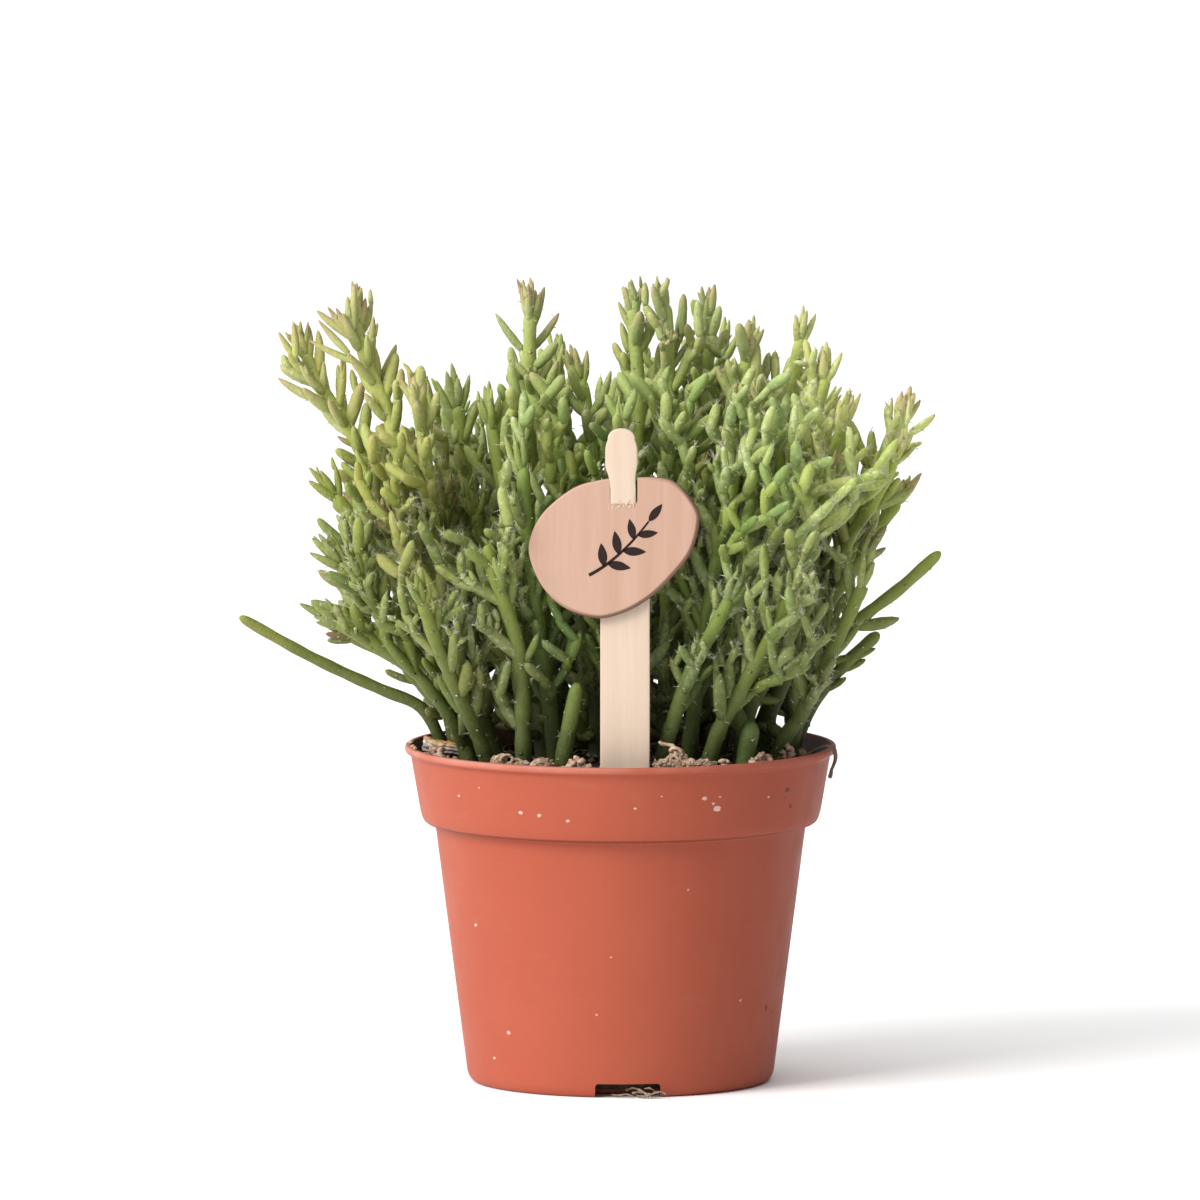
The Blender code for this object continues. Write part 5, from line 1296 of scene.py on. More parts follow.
            bag.hair(tip - t_end * 0.25, w, rng.uniform(0.7, 2.0) * (0.75 if small else 1.0) * (1.45 if tuft > 6 else 1.0), 0.072 if tuft > 6 else 0.05)
        if s.kind not in ("dart", "dartlet", "horn"):
            bag.dot(tip - t_end * 0.12, t_end, rng.uniform(0.24, 0.42), 0.18)
    total = 0
    for node, bag in bags.items():
        ob = bag.build(node + "_grown", [SKIN, BRISTLE])
        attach(ob, "root")
        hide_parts(node)
        tris = sum(len(f) - 2 for f in bag.f)
        total += tris
        if tris > 60000:
            print("piece", node, tris)
    print("plant triangles", total, round(time.perf_counter() - clock, 1))


def buried(p):
    """Deep inside the bush, where fine detail is never seen."""
    return 88.0 < p[2] < 138.0 and math.hypot(p[0] / 50.0, (p[1] - 4.0) / 42.0) < 0.46


grow_plant()


# ------------------------------------------------------------------ pot, soil, stick, tag and the loose things
def rounded(points, steps=6):
    """Outline through (x, z, rounding) corners, each rounded by that length along its sides."""
    out = []
    n = len(points)
    for k, (x, z, cut) in enumerate(points):
        p = Vector((x, z, 0))
        if k in (0, n - 1) or cut <= 0:
            out.append(p)
            continue
        a = Vector((points[k - 1][0], points[k - 1][1], 0)) - p
        b = Vector((points[k + 1][0], points[k + 1][1], 0)) - p
        start, end = p + a.normalized() * min(cut, a.length * 0.5), p + b.normalized() * min(cut, b.length * 0.5)
        for j in range(steps + 1):
            t = j / steps
            out.append(start * (1 - t) ** 2 + p * 2 * t * (1 - t) + end * t * t)
    line = [out[0]]
    for p in out[1:]:
        last = line[-1]
        gap = (p - last).length
        if gap < 0.02:
            continue
        for j in range(1, int(gap / 5.0) + 1):
            line.append(last.lerp(p, j / (int(gap / 5.0) + 1)))
        line.append(p)
    return line


def into_scene(name, mesh, mats, node=None, smooth_angle=40.0):
    for mat in mats:
        mesh.materials.append(mat)
    mesh.shade_smooth()
    if smooth_angle:
        mesh.set_sharp_from_angle(angle=math.radians(smooth_angle))
    ob = bpy.data.objects.new(name, mesh)
    bpy.context.scene.collection.objects.link(ob)
    if node:
        finish_piece(ob, node)
    return ob


def finish_piece(ob, node=None):
    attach(ob, "root")
    if node:
        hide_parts(node)


def point_values(mesh, key, values):
    layer = mesh.attributes.new(key, "FLOAT", "POINT")
    layer.data.foreach_set("value", values)


def turned(name, outline, steps):
    """Closed body of revolution of an (r, z) outline that starts and ends on the axis, in mm."""
    bm = bmesh.new()
    rows = []
    for p in outline:
        if p.x < 1e-6:
            rows.append([bm.verts.new((0, 0, p.y * MM))])
        else:
            rows.append([bm.verts.new((p.x * MM * math.cos(2 * math.pi * k / steps), p.x * MM * math.sin(2 * math.pi * k / steps), p.y * MM))
                         for k in range(steps)])
    for a, b in zip(rows, rows[1:]):
        for k in range(steps):
            n = (k + 1) % steps
            if len(a) == 1 and len(b) > 1:
                bm.faces.new((a[0], b[n], b[k]))
            elif len(b) == 1 and len(a) > 1:
                bm.faces.new((a[k], a[n], b[0]))
            elif len(a) > 1:
                bm.faces.new((a[k], a[n], b[n], b[k]))
    bmesh.ops.recalc_face_normals(bm, faces=bm.faces)
    mesh = bpy.data.meshes.new(name)
    bm.to_mesh(mesh)
    bm.free()
    return mesh


def cut_away(ob, tools):
    """Cuts the tools from ob by Boolean and removes them."""
    for tool in tools:
        step = ob.modifiers.new("Cut", "BOOLEAN")
        step.operation = "DIFFERENCE"
        step.solver = "EXACT"
        step.object = tool
    seen = bpy.context.evaluated_depsgraph_get()
    mesh = bpy.data.meshes.new_from_object(ob.evaluated_get(seen))
    mesh.name = ob.name
    ob.modifiers.clear()
    ob.data = mesh
    for tool in tools:
        bpy.data.objects.remove(tool, do_unlink=True)
    return mesh


POT_OUTSIDE = [
    (43.95, 70.55, 0.0), (45.0, 70.6, 0.55), (45.05, 69.2, 0.5), (43.85, 68.55, 0.5), (41.75, 56.4, 1.2), (41.0, 54.35, 1.2), (38.9, 54.25, 0.45),
    (38.55, 52.6, 0.8), (32.0, 1.5, 1.0), (30.9, 0.0, 1.0), (29.0, 0.0, 0.3), (28.6, 0.35, 0.3), (0.0, 0.35, 0.0),
]
POT_INSIDE = [
    (0.0, 1.2, 0.0), (29.2, 1.2, 1.2), (30.7, 2.6, 1.0), (37.45, 54.6, 0.8), (39.6, 55.5, 0.5), (40.4, 56.8, 0.8), (42.75, 67.9, 1.0), (43.95, 70.55, 0.0),
]


def make_pot():
    mesh = turned("pot_moulded", rounded(POT_INSIDE, 4) + rounded(POT_OUTSIDE, 5)[1:], 168)
    ob = into_scene("pot_moulded", mesh, [PLASTIC], None, None)
    tools = []
    for k in range(3):
        depth = 12.0
        bm = bmesh.new()
        bmesh.ops.create_cube(bm, size=1.0)
        bmesh.ops.scale(bm, verts=bm.verts, vec=Vector((NOTCH_WIDTH, depth, NOTCH_HEIGHT + 1.0)) * MM)
        upright = [e for e in bm.edges if abs(e.verts[0].co.y - e.verts[1].co.y) > 0.005]
        bmesh.ops.bevel(bm, geom=upright, offset=0.7 * MM, segments=4, profile=0.5, affect="EDGES")
        cutter = bpy.data.meshes.new("notch")
        bm.to_mesh(cutter)
        bm.free()
        tool = bpy.data.objects.new("notch_%d" % k, cutter)
        bpy.context.scene.collection.objects.link(tool)
        angle = math.radians(NOTCH_TURN + 120.0 * k)
        tool.location = (Matrix.Rotation(angle, 3, "Z") @ Vector((0.0, -(NOTCH_INNER_RADIUS + depth / 2), (NOTCH_HEIGHT - 1.0) / 2))) * MM
        tool.rotation_euler = (0.0, 0.0, angle)
        tools.append(tool)
    bpy.context.view_layer.update()
    mesh = cut_away(ob, tools)
    mesh.shade_smooth()
    mesh.set_sharp_from_angle(angle=math.radians(38))
    inside, lip, film = [], [], []
    for v in mesh.vertices:
        x, y, z = v.co / MM
        r = math.hypot(x, y)
        wall = 32.0 + (38.6 - 32.0) * min(1.0, z / 53.0) if z < 54.3 else 41.5 + (43.9 - 41.5) * (z - 54.4) / 14.0
        deep = 1.0 if r < wall - 0.55 and z > 2.0 and z < 70.2 else 0.0
        inside.append(deep)
        lip.append(1.0 if z > 69.9 else max(0.0, 1.0 - (69.9 - z) / 0.8) * (1.0 - deep))
        film.append(deep * min(1.0, max(0.0, (z - 66.2) / 1.6)))
    for key, values in (("inside", inside), ("lip", lip), ("film", film)):
        point_values(mesh, key, values)
    finish_piece(ob, "pot")


def pot_radius(z):
    table = [(0, 31.0), (1.5, 32.0), (52.6, 38.55), (54.3, 39.4), (56.4, 41.75), (68.5, 43.85)]
    return look_up(table, z)


def make_marks():
    """Pale specks and dark smudges that sit on the pot's skin."""
    pale = [(-33.6, 62.7, 0.30), (-20.8, 60.4, 0.42), (-16.9, 60.0, 0.40), (-11.0, 59.1, 0.36), (3.0, 61.9, 0.24), (17.4, 63.6, 0.50), (20.1, 61.3, 0.75),
            (30.7, 62.8, 0.28), (-30.2, 34.9, 0.40), (-23.3, 12.8, 0.46), (-26.3, 6.9, 0.34), (-5.0, 17.7, 0.26), (24.9, 19.5, 0.30), (19.2, 62.4, 0.34),
            (20.6, 63.8, 0.22), (-29.4, 65.0, 0.20), (8.5, 64.4, 0.20), (-2.0, 30.0, 0.20), (14.0, 44.0, 0.20)]
    dark = [(34.7, 63.8, 0.62), (35.3, 60.2, 0.55), (30.3, 17.0, 0.62), (34.2, 62.2, 0.34), (31.4, 15.6, 0.30)]
    for name, spots, mat in (("pot_specks", pale, SPECK), ("pot_smudges", dark, SMUDGE)):
        bm = bmesh.new()
        for n, (x, z, size) in enumerate(spots):
            rng = random.Random(60 + n)
            r = pot_radius(z)
            y = -math.sqrt(r * r - x * x)
            normal = Vector((x, y, 0)).normalized()
            across = Vector((0, 0, 1)).cross(normal)
            tip = bm.verts.new((Vector((x, y, z)) + normal * 0.07) * MM)
            back = bm.verts.new((Vector((x, y, z)) - normal * 0.25) * MM)
            ring = []
            for k in range(14):
                a = 2 * math.pi * k / 14
                rr = size * (1 + rng.uniform(-0.28, 0.28))
                side, up = math.cos(a) * rr * 1.15, math.sin(a) * rr * 0.85
                px, pz = x + across.x * side, z + up
                pr = pot_radius(pz)
                ring.append(bm.verts.new(Vector((px, -math.sqrt(max(1.0, pr * pr - px * px)) - 0.012, pz)) * MM))
            for k in range(14):
                bm.faces.new((tip, ring[k], ring[(k + 1) % 14]))
                bm.faces.new((back, ring[(k + 1) % 14], ring[k]))
        bmesh.ops.recalc_face_normals(bm, faces=bm.faces)
        mesh = bpy.data.meshes.new(name)
        bm.to_mesh(mesh)
        bm.free()
        finish_piece(into_scene(name, mesh, [mat]), None)


def ground_at(x, y):
    """The soil's fine surface, in mm."""
    z = soil_height(x, y)
    p = Vector((x, y, 0.0))
    z += 0.55 * mnoise.noise(p * 0.28) + 0.42 * mnoise.noise(p * 0.7 + Vector((7, 2, 1))) + 0.25 * mnoise.noise(p * 1.7 + Vector((1, 9, 4)))
    return z


def rock(bm, at, size, rng, detail, rough, squash=0.75, freq=1.6, folds=0.0):
    """A crumb: an icosphere pushed about by noise, with narrow folds if asked for."""
    painted_crease_shade = bm.verts.layers.float["painted_crease_shade"]
    made = bmesh.ops.create_icosphere(bm, subdivisions=detail, radius=1.0)["verts"]
    shift = Vector([rng.uniform(-50, 50) for _ in range(3)])
    turn = Matrix.Rotation(rng.uniform(0, 6.28), 3, "Z") @ Matrix.Rotation(rng.uniform(-0.5, 0.5), 3, "X")
    if folds:
        turn = Matrix.Rotation(rng.uniform(-0.3, 0.3), 3, "Z")
    for v in made:
        p = v.co.copy()
        k = 1.0 + rough * mnoise.noise(p * freq + shift) + 0.5 * rough * mnoise.noise(p * freq * 2.7 + shift) + 0.25 * rough * mnoise.noise(p * freq * 6.5 + shift)
        if folds:
            q = Vector((p.x * size[0], p.y * size[1], p.z * size[2])) / size[2]
            crease = max(0.0, 1.0 - 5.5 * abs(mnoise.noise(q * 1.5 + shift)), 1.0 - 7.0 * abs(mnoise.noise(q * 2.7 - shift)))
            k *= 1.0 - folds * crease
            # the fold depth, kept as the mask for the painted shade in the folds
            v[painted_crease_shade] = crease
        v.co = (Vector(at) + turn @ Vector((p.x * size[0] * k, p.y * size[1] * k, p.z * size[2] * squash * k))) * MM
    return made


def crumb_mesh():
    bm = bmesh.new()
    bm.verts.layers.float.new("painted_crease_shade")
    return bm


def make_soil_bed():
    around, rings = 168, 66
    bm = crumb_mesh()
    wall = [(28.6, 1.5), (30.1, 2.7), (36.9, 54.9), (39.4, 56.3), (39.9, 57.4), (41.5, 64.6)]
    rows = []
    for r, z in wall:
        rows.append([bm.verts.new((r * MM * math.cos(2 * math.pi * k / around), r * MM * math.sin(2 * math.pi * k / around), z * MM)) for k in range(around)])
    for q in range(rings):
        r = 41.6 * (1 - q / rings) + 0.25
        row = []
        for k in range(around):
            a = 2 * math.pi * k / around
            x, y = r * math.cos(a), r * math.sin(a)
            z = ground_at(x, y)
            if r > 38.5:
                z -= 0.35 * (r - 38.5) / 2.9
            row.append(bm.verts.new((x * MM, y * MM, max(z, 65.0) * MM if q == 0 else z * MM)))
        rows.append(row)
    low = bm.verts.new((0, 0, 1.5 * MM))
    high = bm.verts.new((0, 0, ground_at(0, 0) * MM))
    for a, b in zip(rows, rows[1:]):
        for k in range(around):
            n = (k + 1) % around
            bm.faces.new((a[k], a[n], b[n], b[k]))
    for k in range(around):
        n = (k + 1) % around
        bm.faces.new((low, rows[0][n], rows[0][k]))
        bm.faces.new((high, rows[-1][k], rows[-1][n]))
    rng = random.Random(4)
    for n in range(560):
        r = 40.6 * math.sqrt(rng.random())
        a = rng.uniform(0, 2 * math.pi)
        x, y = r * math.cos(a), r * math.sin(a)
        s = rng.choice((0.25, 0.3, 0.4, 0.5, 0.7, 0.95)) * rng.uniform(0.8, 1.2)
        if abs(x - STICK_X) < 6.5 and y < -32.0:
            continue
        rock(bm, (x, y, ground_at(x, y) + s * 0.25), (s, s * rng.uniform(0.7, 1.1), s * rng.uniform(0.6, 1.0)), rng, 2 if s > 0.65 else 1, 0.5)
    bmesh.ops.recalc_face_normals(bm, faces=bm.faces)
    mesh = bpy.data.meshes.new("soil_bed")
    bm.to_mesh(mesh)
    bm.free()
    into_scene("soil_bed", mesh, [SOIL_MAT], "soil", None)
    # short dark and pale fibres that lie on the soil
    bag = Bag()
    for n in range(150):
        r = 39.0 * math.sqrt(rng.random())
        a = rng.uniform(0, 2 * math.pi)
        x, y = r * math.cos(a), r * math.sin(a)
        if abs(x - STICK_X) < 8.5 and y < -29.0:
            continue
        way = Vector((math.cos(a * 7 + n), math.sin(a * 7 + n), 0))
        length = rng.uniform(2.0, 6.5)
        curl = Vector((-way.y, way.x, 0)) * rng.uniform(-1.4, 1.4)
        pts = []
        for k in range(7):
            t = k / 6
            p = Vector((x, y, 0)) + way * length * (t - 0.5) + curl * (4 * t * (1 - t))
            if math.hypot(p.x, p.y) > 40.2:
                p *= 40.2 / math.hypot(p.x, p.y)
            p.z = ground_at(p.x, p.y) + 0.25 + 0.5 * math.sin(3.14 * t) * rng.random()
            pts.append(p)
        w = rng.uniform(0.09, 0.2)
        bag.tube(pts, [w * 0.6, w, w, w * 1.1, w, w, w * 0.5], 6, 0.5, 0.5)
    ob = bag.build("soil_fibres", [ROOT_MAT, ROOT_MAT])
    finish_piece(ob, None)


def ground_near(x, y, reach):
    return max(soil_height(x + reach * math.cos(a), y + reach * math.sin(a)) for a in (0, 1.05, 2.1, 3.14, 4.2, 5.25))


def make_crumbs():
    bag = Bag()
    for name, (x, y), size, seed in CRUMBS:
        rng = random.Random(seed)
        bm = crumb_mesh()
        z = max(ground_near(x, y, max(size[0], size[1])), soil_height(x, y)) + 0.35
        if name in ("crumb_clump_right", "crumb_left_large"):
            # a heap of small folded husks, highest left of its middle, with curled threads over it
            count = 9 if name == "crumb_clump_right" else 6
            for k in range(count):
                f = k / (count - 1)
                px = x + size[0] * (1.76 * f - 0.88)
                rise = (0.30 + 0.62 * math.exp(-((f - 0.36) / 0.22) ** 2)) * size[2] * 1.25
                s = rng.uniform(0.92, 1.2) * (1.25 if k % 2 else 1.0)
                rock(bm, (px, y + rng.uniform(-0.3, 0.3), z + s * 0.55), (s * 1.35, s * 1.05, s), rng, 4, 0.35, 0.85, 1.3, 0.30)
                if rise > 1.7:
                    rock(bm, (px + rng.uniform(-0.5, 0.5), y + rng.uniform(-0.2, 0.5), z + rise), (s * 1.05, s * 0.9, s * 0.9), rng, 4, 0.4, 0.85, 1.3, 0.32)
            for k in range(13 if name == "crumb_clump_right" else 8):
                f = rng.uniform(0.0, 1.0)
                rise = (0.45 + 0.60 * math.exp(-((f - 0.3) / 0.25) ** 2)) * size[2] * 1.35
                start = Vector((x + size[0] * (1.8 * f - 0.9), y - rng.uniform(0.1, 0.7), z + rise * rng.uniform(0.5, 1.0)))
                a = rng.uniform(0, 6.28)
                bend = rng.choice((-1, 1)) * rng.uniform(2.2, 4.2)
                reach = rng.uniform(0.9, 1.7)
                pts = []
                for j in range(9):
                    t = j / 8
                    pts.append(start + Vector((math.cos(a + bend * t) * 1.2, -0.25 * t, math.sin(a + bend * t) * 0.8)) * reach * (0.45 + 0.55 * t))
                w = rng.uniform(0.26, 0.42)
                bag.tube(pts, [w * f for f in (0.6, 0.9, 1, 1.15, 1.0, 0.95, 1.05, 0.85, 0.5)], 8, 0.5, 0.5)
        else:
            rock(bm, (x, y, z + size[2] * 0.80), (size[0], size[1], size[2] * 1.15), rng, 4, 0.35, 0.92, 1.4, 0.22)
            for k in range(4):
                a = rng.uniform(0, 6.28)
                s = rng.uniform(0.28, 0.42)
                rock(bm, (x + size[0] * 0.72 * math.cos(a), y + size[1] * 0.72 * math.sin(a), z + size[2] * rng.uniform(0.25, 1.2)),
                     (size[0] * s, size[1] * s, size[2] * s), rng, 3, 0.6, 1.0, 2.0)
        bmesh.ops.recalc_face_normals(bm, faces=bm.faces)
        mesh = bpy.data.meshes.new(name + "_rough")
        bm.to_mesh(mesh)
        bm.free()
        into_scene(name + "_rough", mesh, [CRUMB_MAT], name, None)
    rng = random.Random(91)
    # a thread that stands up at the left of the right-hand clump
    x, y = CRUMBS[2][1]
    top = ground_near(x, y, 4.0) + 3.6
    bag.tube([Vector((x + a, y - 0.2, top + b)) for a, b in ((-1.6, 0.2), (-2.5, 0.9), (-3.6, 1.1), (-4.6, 1.2), (-5.3, 1.7))], [0.34, 0.42, 0.38, 0.42, 0.26], 8, 0.5, 0.5)
    ob = bag.build("husk_threads", [CRUMB_MAT, CRUMB_MAT])
    finish_piece(ob, None)
    # small crumbs over the soil, thickest along the front of the rim
    bm = crumb_mesh()
    for n in range(190):
        near_rim = n < 130
        a = rng.uniform(math.radians(205), math.radians(338)) if near_rim else rng.uniform(0, 2 * math.pi)
        r = rng.uniform(34.5, 40.2) if near_rim else rng.uniform(6, 36)
        x, y = r * math.cos(a), r * math.sin(a)
        s = rng.choice((0.35, 0.45, 0.6, 0.8, 1.05)) * rng.uniform(0.85, 1.15)
        if abs(x - STICK_X) < 5.6 + s and -36.5 - s < y < -32.5 + s:
            continue
        rock(bm, (x, y, ground_at(x, y) + s * 0.5), (s, s * rng.uniform(0.7, 1.0), s * rng.uniform(0.7, 1.0)), rng, 3 if s > 0.7 else 2, 0.5, 0.9, 1.6, 0.18 if s > 0.5 else 0.0)
    # more of them heaped against the rim by the bark chip
    for n in range(34):
        a, r = math.radians(rng.uniform(183, 214)), rng.uniform(36.0, 40.6)
        x, y = r * math.cos(a), r * math.sin(a)
        s = rng.uniform(0.4, 1.0)
        rock(bm, (x, y, ground_at(x, y) + s * 0.6), (s, s * rng.uniform(0.7, 1.0), s * rng.uniform(0.7, 1.0)), rng, 2, 0.5, 0.9, 1.6, 0.0)
    # low heaps that show over the front of the rim: left of the stick, and right of the clump
    for cx, cy, half, rise, count in ((-9.2, -38.9, 3.8, 5.6, 96), (21.6, -33.6, 1.3, 4.3, 10), (29.6, -26.8, 3.4, 4.6, 40), (35.2, -18.2, 1.8, 4.2, 16), (-26.5, -29.5, 2.0, 3.2, 16), (-38.2, -14.6, 4.2, 4.6, 34)):
        side = Vector((-cy, cx, 0.0)).normalized()
        back = Vector((-cx, -cy, 0.0)).normalized()
        for n in range(count):
            u = rng.uniform(-1.0, 1.0)
            top = rise * (1.0 - 0.55 * abs(u)) * rng.uniform(0.1, 1.0)
            spot = Vector((cx, cy, 0.0)) + side * (u * half) + back * rng.uniform(-0.4, 2.4 - 0.45 * top)
            s = rng.uniform(0.45, 0.95)
            rock(bm, (spot.x, spot.y, ground_at(spot.x, spot.y) + s * 0.3 + top), (s, s * rng.uniform(0.7, 1.0), s * rng.uniform(0.7, 1.0)), rng, 2, 0.5, 0.9, 1.6, 0.0)
    # a few stuck on the lip at the left
    for n in range(13):
        a, r, s = math.radians(rng.uniform(172, 197)), rng.uniform(43.6, 44.4), rng.uniform(0.28, 0.55)
        rock(bm, (r * math.cos(a), r * math.sin(a), POT_HEIGHT + s * 0.45), (s, s * rng.uniform(0.7, 1.0), s * rng.uniform(0.6, 0.9)), rng, 2, 0.5, 0.9, 1.6, 0.0)
    bmesh.ops.recalc_face_normals(bm, faces=bm.faces)
    mesh = bpy.data.meshes.new("loose_crumbs")
    bm.to_mesh(mesh)
    bm.free()
    finish_piece(into_scene("loose_crumbs", mesh, [CRUMB_MAT], None, None), None)
    bm = crumb_mesh()
    for x, y, s in ((-12.6, -36.6, 0.75), (-9.0, -36.2, 0.4), (26.0, -30.2, 0.45), (-31.0, -26.5, 0.45), (-4.0, -20.0, 0.6), (7.0, -22.0, 0.5)):
        rock(bm, (x, y, ground_at(x, y) + s * 0.9), (s * 0.75, s * 0.7, s * 1.2), rng, 4, 0.25, 1.0, 1.2, 0.05)
    bmesh.ops.recalc_face_normals(bm, faces=bm.faces)
    mesh = bpy.data.meshes.new("pale_grains")
    bm.to_mesh(mesh)
    bm.free()
    finish_piece(into_scene("pale_grains", mesh, [GRAIN_MAT], None, None), None)


def make_stick():
    zs, ws = [q[0] for q in STICK_ROWS], [q[1] for q in STICK_ROWS]

    def smooth_read(values, z):
        k = 0
        while k < len(zs) - 2 and zs[k + 1] <= z:
            k += 1
        h = zs[k + 1] - zs[k]
        t = (z - zs[k]) / h

        def slope(j):
            if j == 0 or j == len(zs) - 1:
                return 0.0
            a = (values[j] - values[j - 1]) / (zs[j] - zs[j - 1])
            b = (values[j + 1] - values[j]) / (zs[j + 1] - zs[j])
            return 0.0 if a * b <= 0 else 2 * a * b / (a + b)

        m0, m1 = slope(k) * h, slope(k + 1) * h
        return (2 * t ** 3 - 3 * t * t + 1) * values[k] + (t ** 3 - 2 * t * t + t) * m0 + (3 * t * t - 2 * t ** 3) * values[k + 1] + (t ** 3 - t * t) * m1

    levels = [49.7 + 0.35 * k for k in range(17)] + [56.0 + 2.2 * k for k in range(28)] + [117.0 + 0.28 * k for k in range(85)]
    levels = [z for z in levels if z < 139.7] + [139.7, 139.95, 140.15, 140.28, 140.36]
    bm = bmesh.new()
    rows = []
    half = STICK_THICKNESS / 2
    for z in sorted(levels):
        w = smooth_read(ws, min(z, 139.8))
        t = min(1.0, max(0.0, (z - SLOT_FOOT_Z + 1.1) / 1.4))
        forward = NECK_FORWARD * t * t * (3 - 2 * t)
        if z > 138.0:
            w = 2.86 * max(0.02, 1.0 - ((z - 138.0) / 2.4) ** 2.4) ** 0.5
        soft = min(0.32, w * 0.4)
        section = []
        for cx, cy, start in ((w - soft, half - soft, 0), (soft - w, half - soft, 90), (soft - w, soft - half, 180), (w - soft, soft - half, 270)):
            for j in range(5):
                a = math.radians(start + 22.5 * j)
                section.append((cx + soft * math.cos(a), cy + soft * math.sin(a)))
        flat = []
        for j, (a, b) in enumerate(zip(section, section[1:] + section[:1])):
            flat.append(a)
            if j in (4, 14):
                flat += [(a[0] + (b[0] - a[0]) * t, a[1]) for t in (0.25, 0.5, 0.75)]
        shift = NECK_SHIFT * min(1.0, max(0.0, (z - 119.0) / 4.0)) + HEAD_SHIFT * min(1.0, max(0.0, (z - 128.0) / 4.0))
        rows.append([bm.verts.new(Vector((STICK_X + shift + x, STICK_Y + y - forward, z)) * MM) for x, y in flat])
    n = len(rows[0])
    for a, b in zip(rows, rows[1:]):
        for k in range(n):
            bm.faces.new((a[k], a[(k + 1) % n], b[(k + 1) % n], b[k]))
    bm.faces.new(list(reversed(rows[0])))
    bm.faces.new(rows[-1])
    bmesh.ops.recalc_face_normals(bm, faces=bm.faces)
    mesh = bpy.data.meshes.new("stick_birch")
    bm.to_mesh(mesh)
    bm.free()
    into_scene("stick_birch", mesh, [STICK_MAT], "plant_stick")


def tag_outline(per_side):
    pts = [Vector((x, z + 2.6, 0)) for x, z in TAG_POINTS]
    out = []
    n = len(pts)
    for i in range(n):
        p0, p1, p2, p3 = (pts[(i + j - 1) % n] for j in range(4))
        for k in range(per_side):
            t = k / per_side
            out.append(0.5 * (2 * p1 + (p2 - p0) * t + (2 * p0 - 5 * p1 + 4 * p2 - p3) * t * t + (3 * p1 - p0 - 3 * p2 + p3) * t ** 3))
    return out


def make_tag():
    edge = tag_outline(10)
    middle = Vector((-1.2, 115.9, 0))
    half = TAG_THICKNESS / 2
    soft = 0.2
    bm = bmesh.new()

    def ring(inset, y, factor=None):
        row = []
        for p in edge:
            d = p - middle
            q = middle + d * factor if factor is not None else middle + d * (1.0 - inset / d.length)
            row.append(bm.verts.new(Vector((q.x, TAG_Y + y, q.y)) * MM))
        return row

    rows = [ring(0, -half, f) for f in (0.12, 0.3, 0.5, 0.7, 0.85)]
    rows += [ring(1.6, -half), ring(1.0, -half), ring(0.6, -half), ring(soft, -half), ring(0.07, -half + 0.07), ring(0.0, -half + soft),
             ring(0.0, half - soft), ring(0.07, half - 0.07), ring(soft, half), ring(0.6, half), ring(1.6, half)]
    rows += [ring(0, half, f) for f in (0.85, 0.5, 0.12)]
    n = len(edge)
    for a, b in zip(rows, rows[1:]):
        for k in range(n):
            bm.faces.new((a[k], a[(k + 1) % n], b[(k + 1) % n], b[k]))
    bm.faces.new(list(reversed(rows[0])))
    bm.faces.new(rows[-1])
    bmesh.ops.recalc_face_normals(bm, faces=bm.faces)
    mesh = bpy.data.meshes.new("tag_veneer")
    bm.to_mesh(mesh)
    bm.free()
    ob = into_scene("tag_veneer", mesh, [TAG_MAT], None, None)
    bm = bmesh.new()
    bmesh.ops.create_cube(bm, size=1.0)
    bmesh.ops.scale(bm, verts=bm.verts, vec=Vector((SLOT_WIDTH - 0.3, 6.0, 12.0)) * MM)
    low = [e for e in bm.edges if abs(e.verts[0].co.y - e.verts[1].co.y) > 0.004 and e.verts[0].co.z < 0]
    bmesh.ops.bevel(bm, geom=low, offset=0.9 * MM, segments=5, profile=0.5, affect="EDGES")
    cutter = bpy.data.meshes.new("slot")
    bm.to_mesh(cutter)
    bm.free()
    tool = bpy.data.objects.new("slot", cutter)
    bpy.context.scene.collection.objects.link(tool)
    tool.location = Vector((STICK_X + NECK_SHIFT + 0.1, TAG_Y, SLOT_FOOT_Z + 6.0)) * MM
    bpy.context.view_layer.update()
    mesh = cut_away(ob, [tool])
    mesh.shade_smooth()
    mesh.set_sharp_from_angle(angle=math.radians(35))
    E = np.array([(p.x, p.y) for p in edge])
    F = np.roll(E, -1, axis=0)
    D = F - E
    rim = []
    for v in mesh.vertices:
        p = np.array((v.co.x / MM, v.co.z / MM))
        t = np.clip(((p - E) * D).sum(1) / (D * D).sum(1), 0, 1)
        gap = float(np.sqrt(((E + D * t[:, None] - p) ** 2).sum(1)).min())
        flank = abs(v.co.y / MM - TAG_Y) < half - 0.15
        # the flanks are the burnt edge; on the faces the dark band along the outline is partly burn and partly painted
        # shade, strongest towards the lower right
        painted_shade_low_right = min(1.0, max(0.0, 0.45 + (p[0] + 2.0) * 0.035 - (p[1] - 114.5) * 0.03))
        rim.append(1.0 if flank else min(1.0, 1.4 * max(0.0, 1.0 - gap / 1.05)) * painted_shade_low_right)
        if flank and p[1] > SLOT_FOOT_Z - 1.0 and gap > 0.8:
            rim[-1] = 0.8
    point_values(mesh, "rim", rim)
    finish_piece(ob, "hanging_tag")


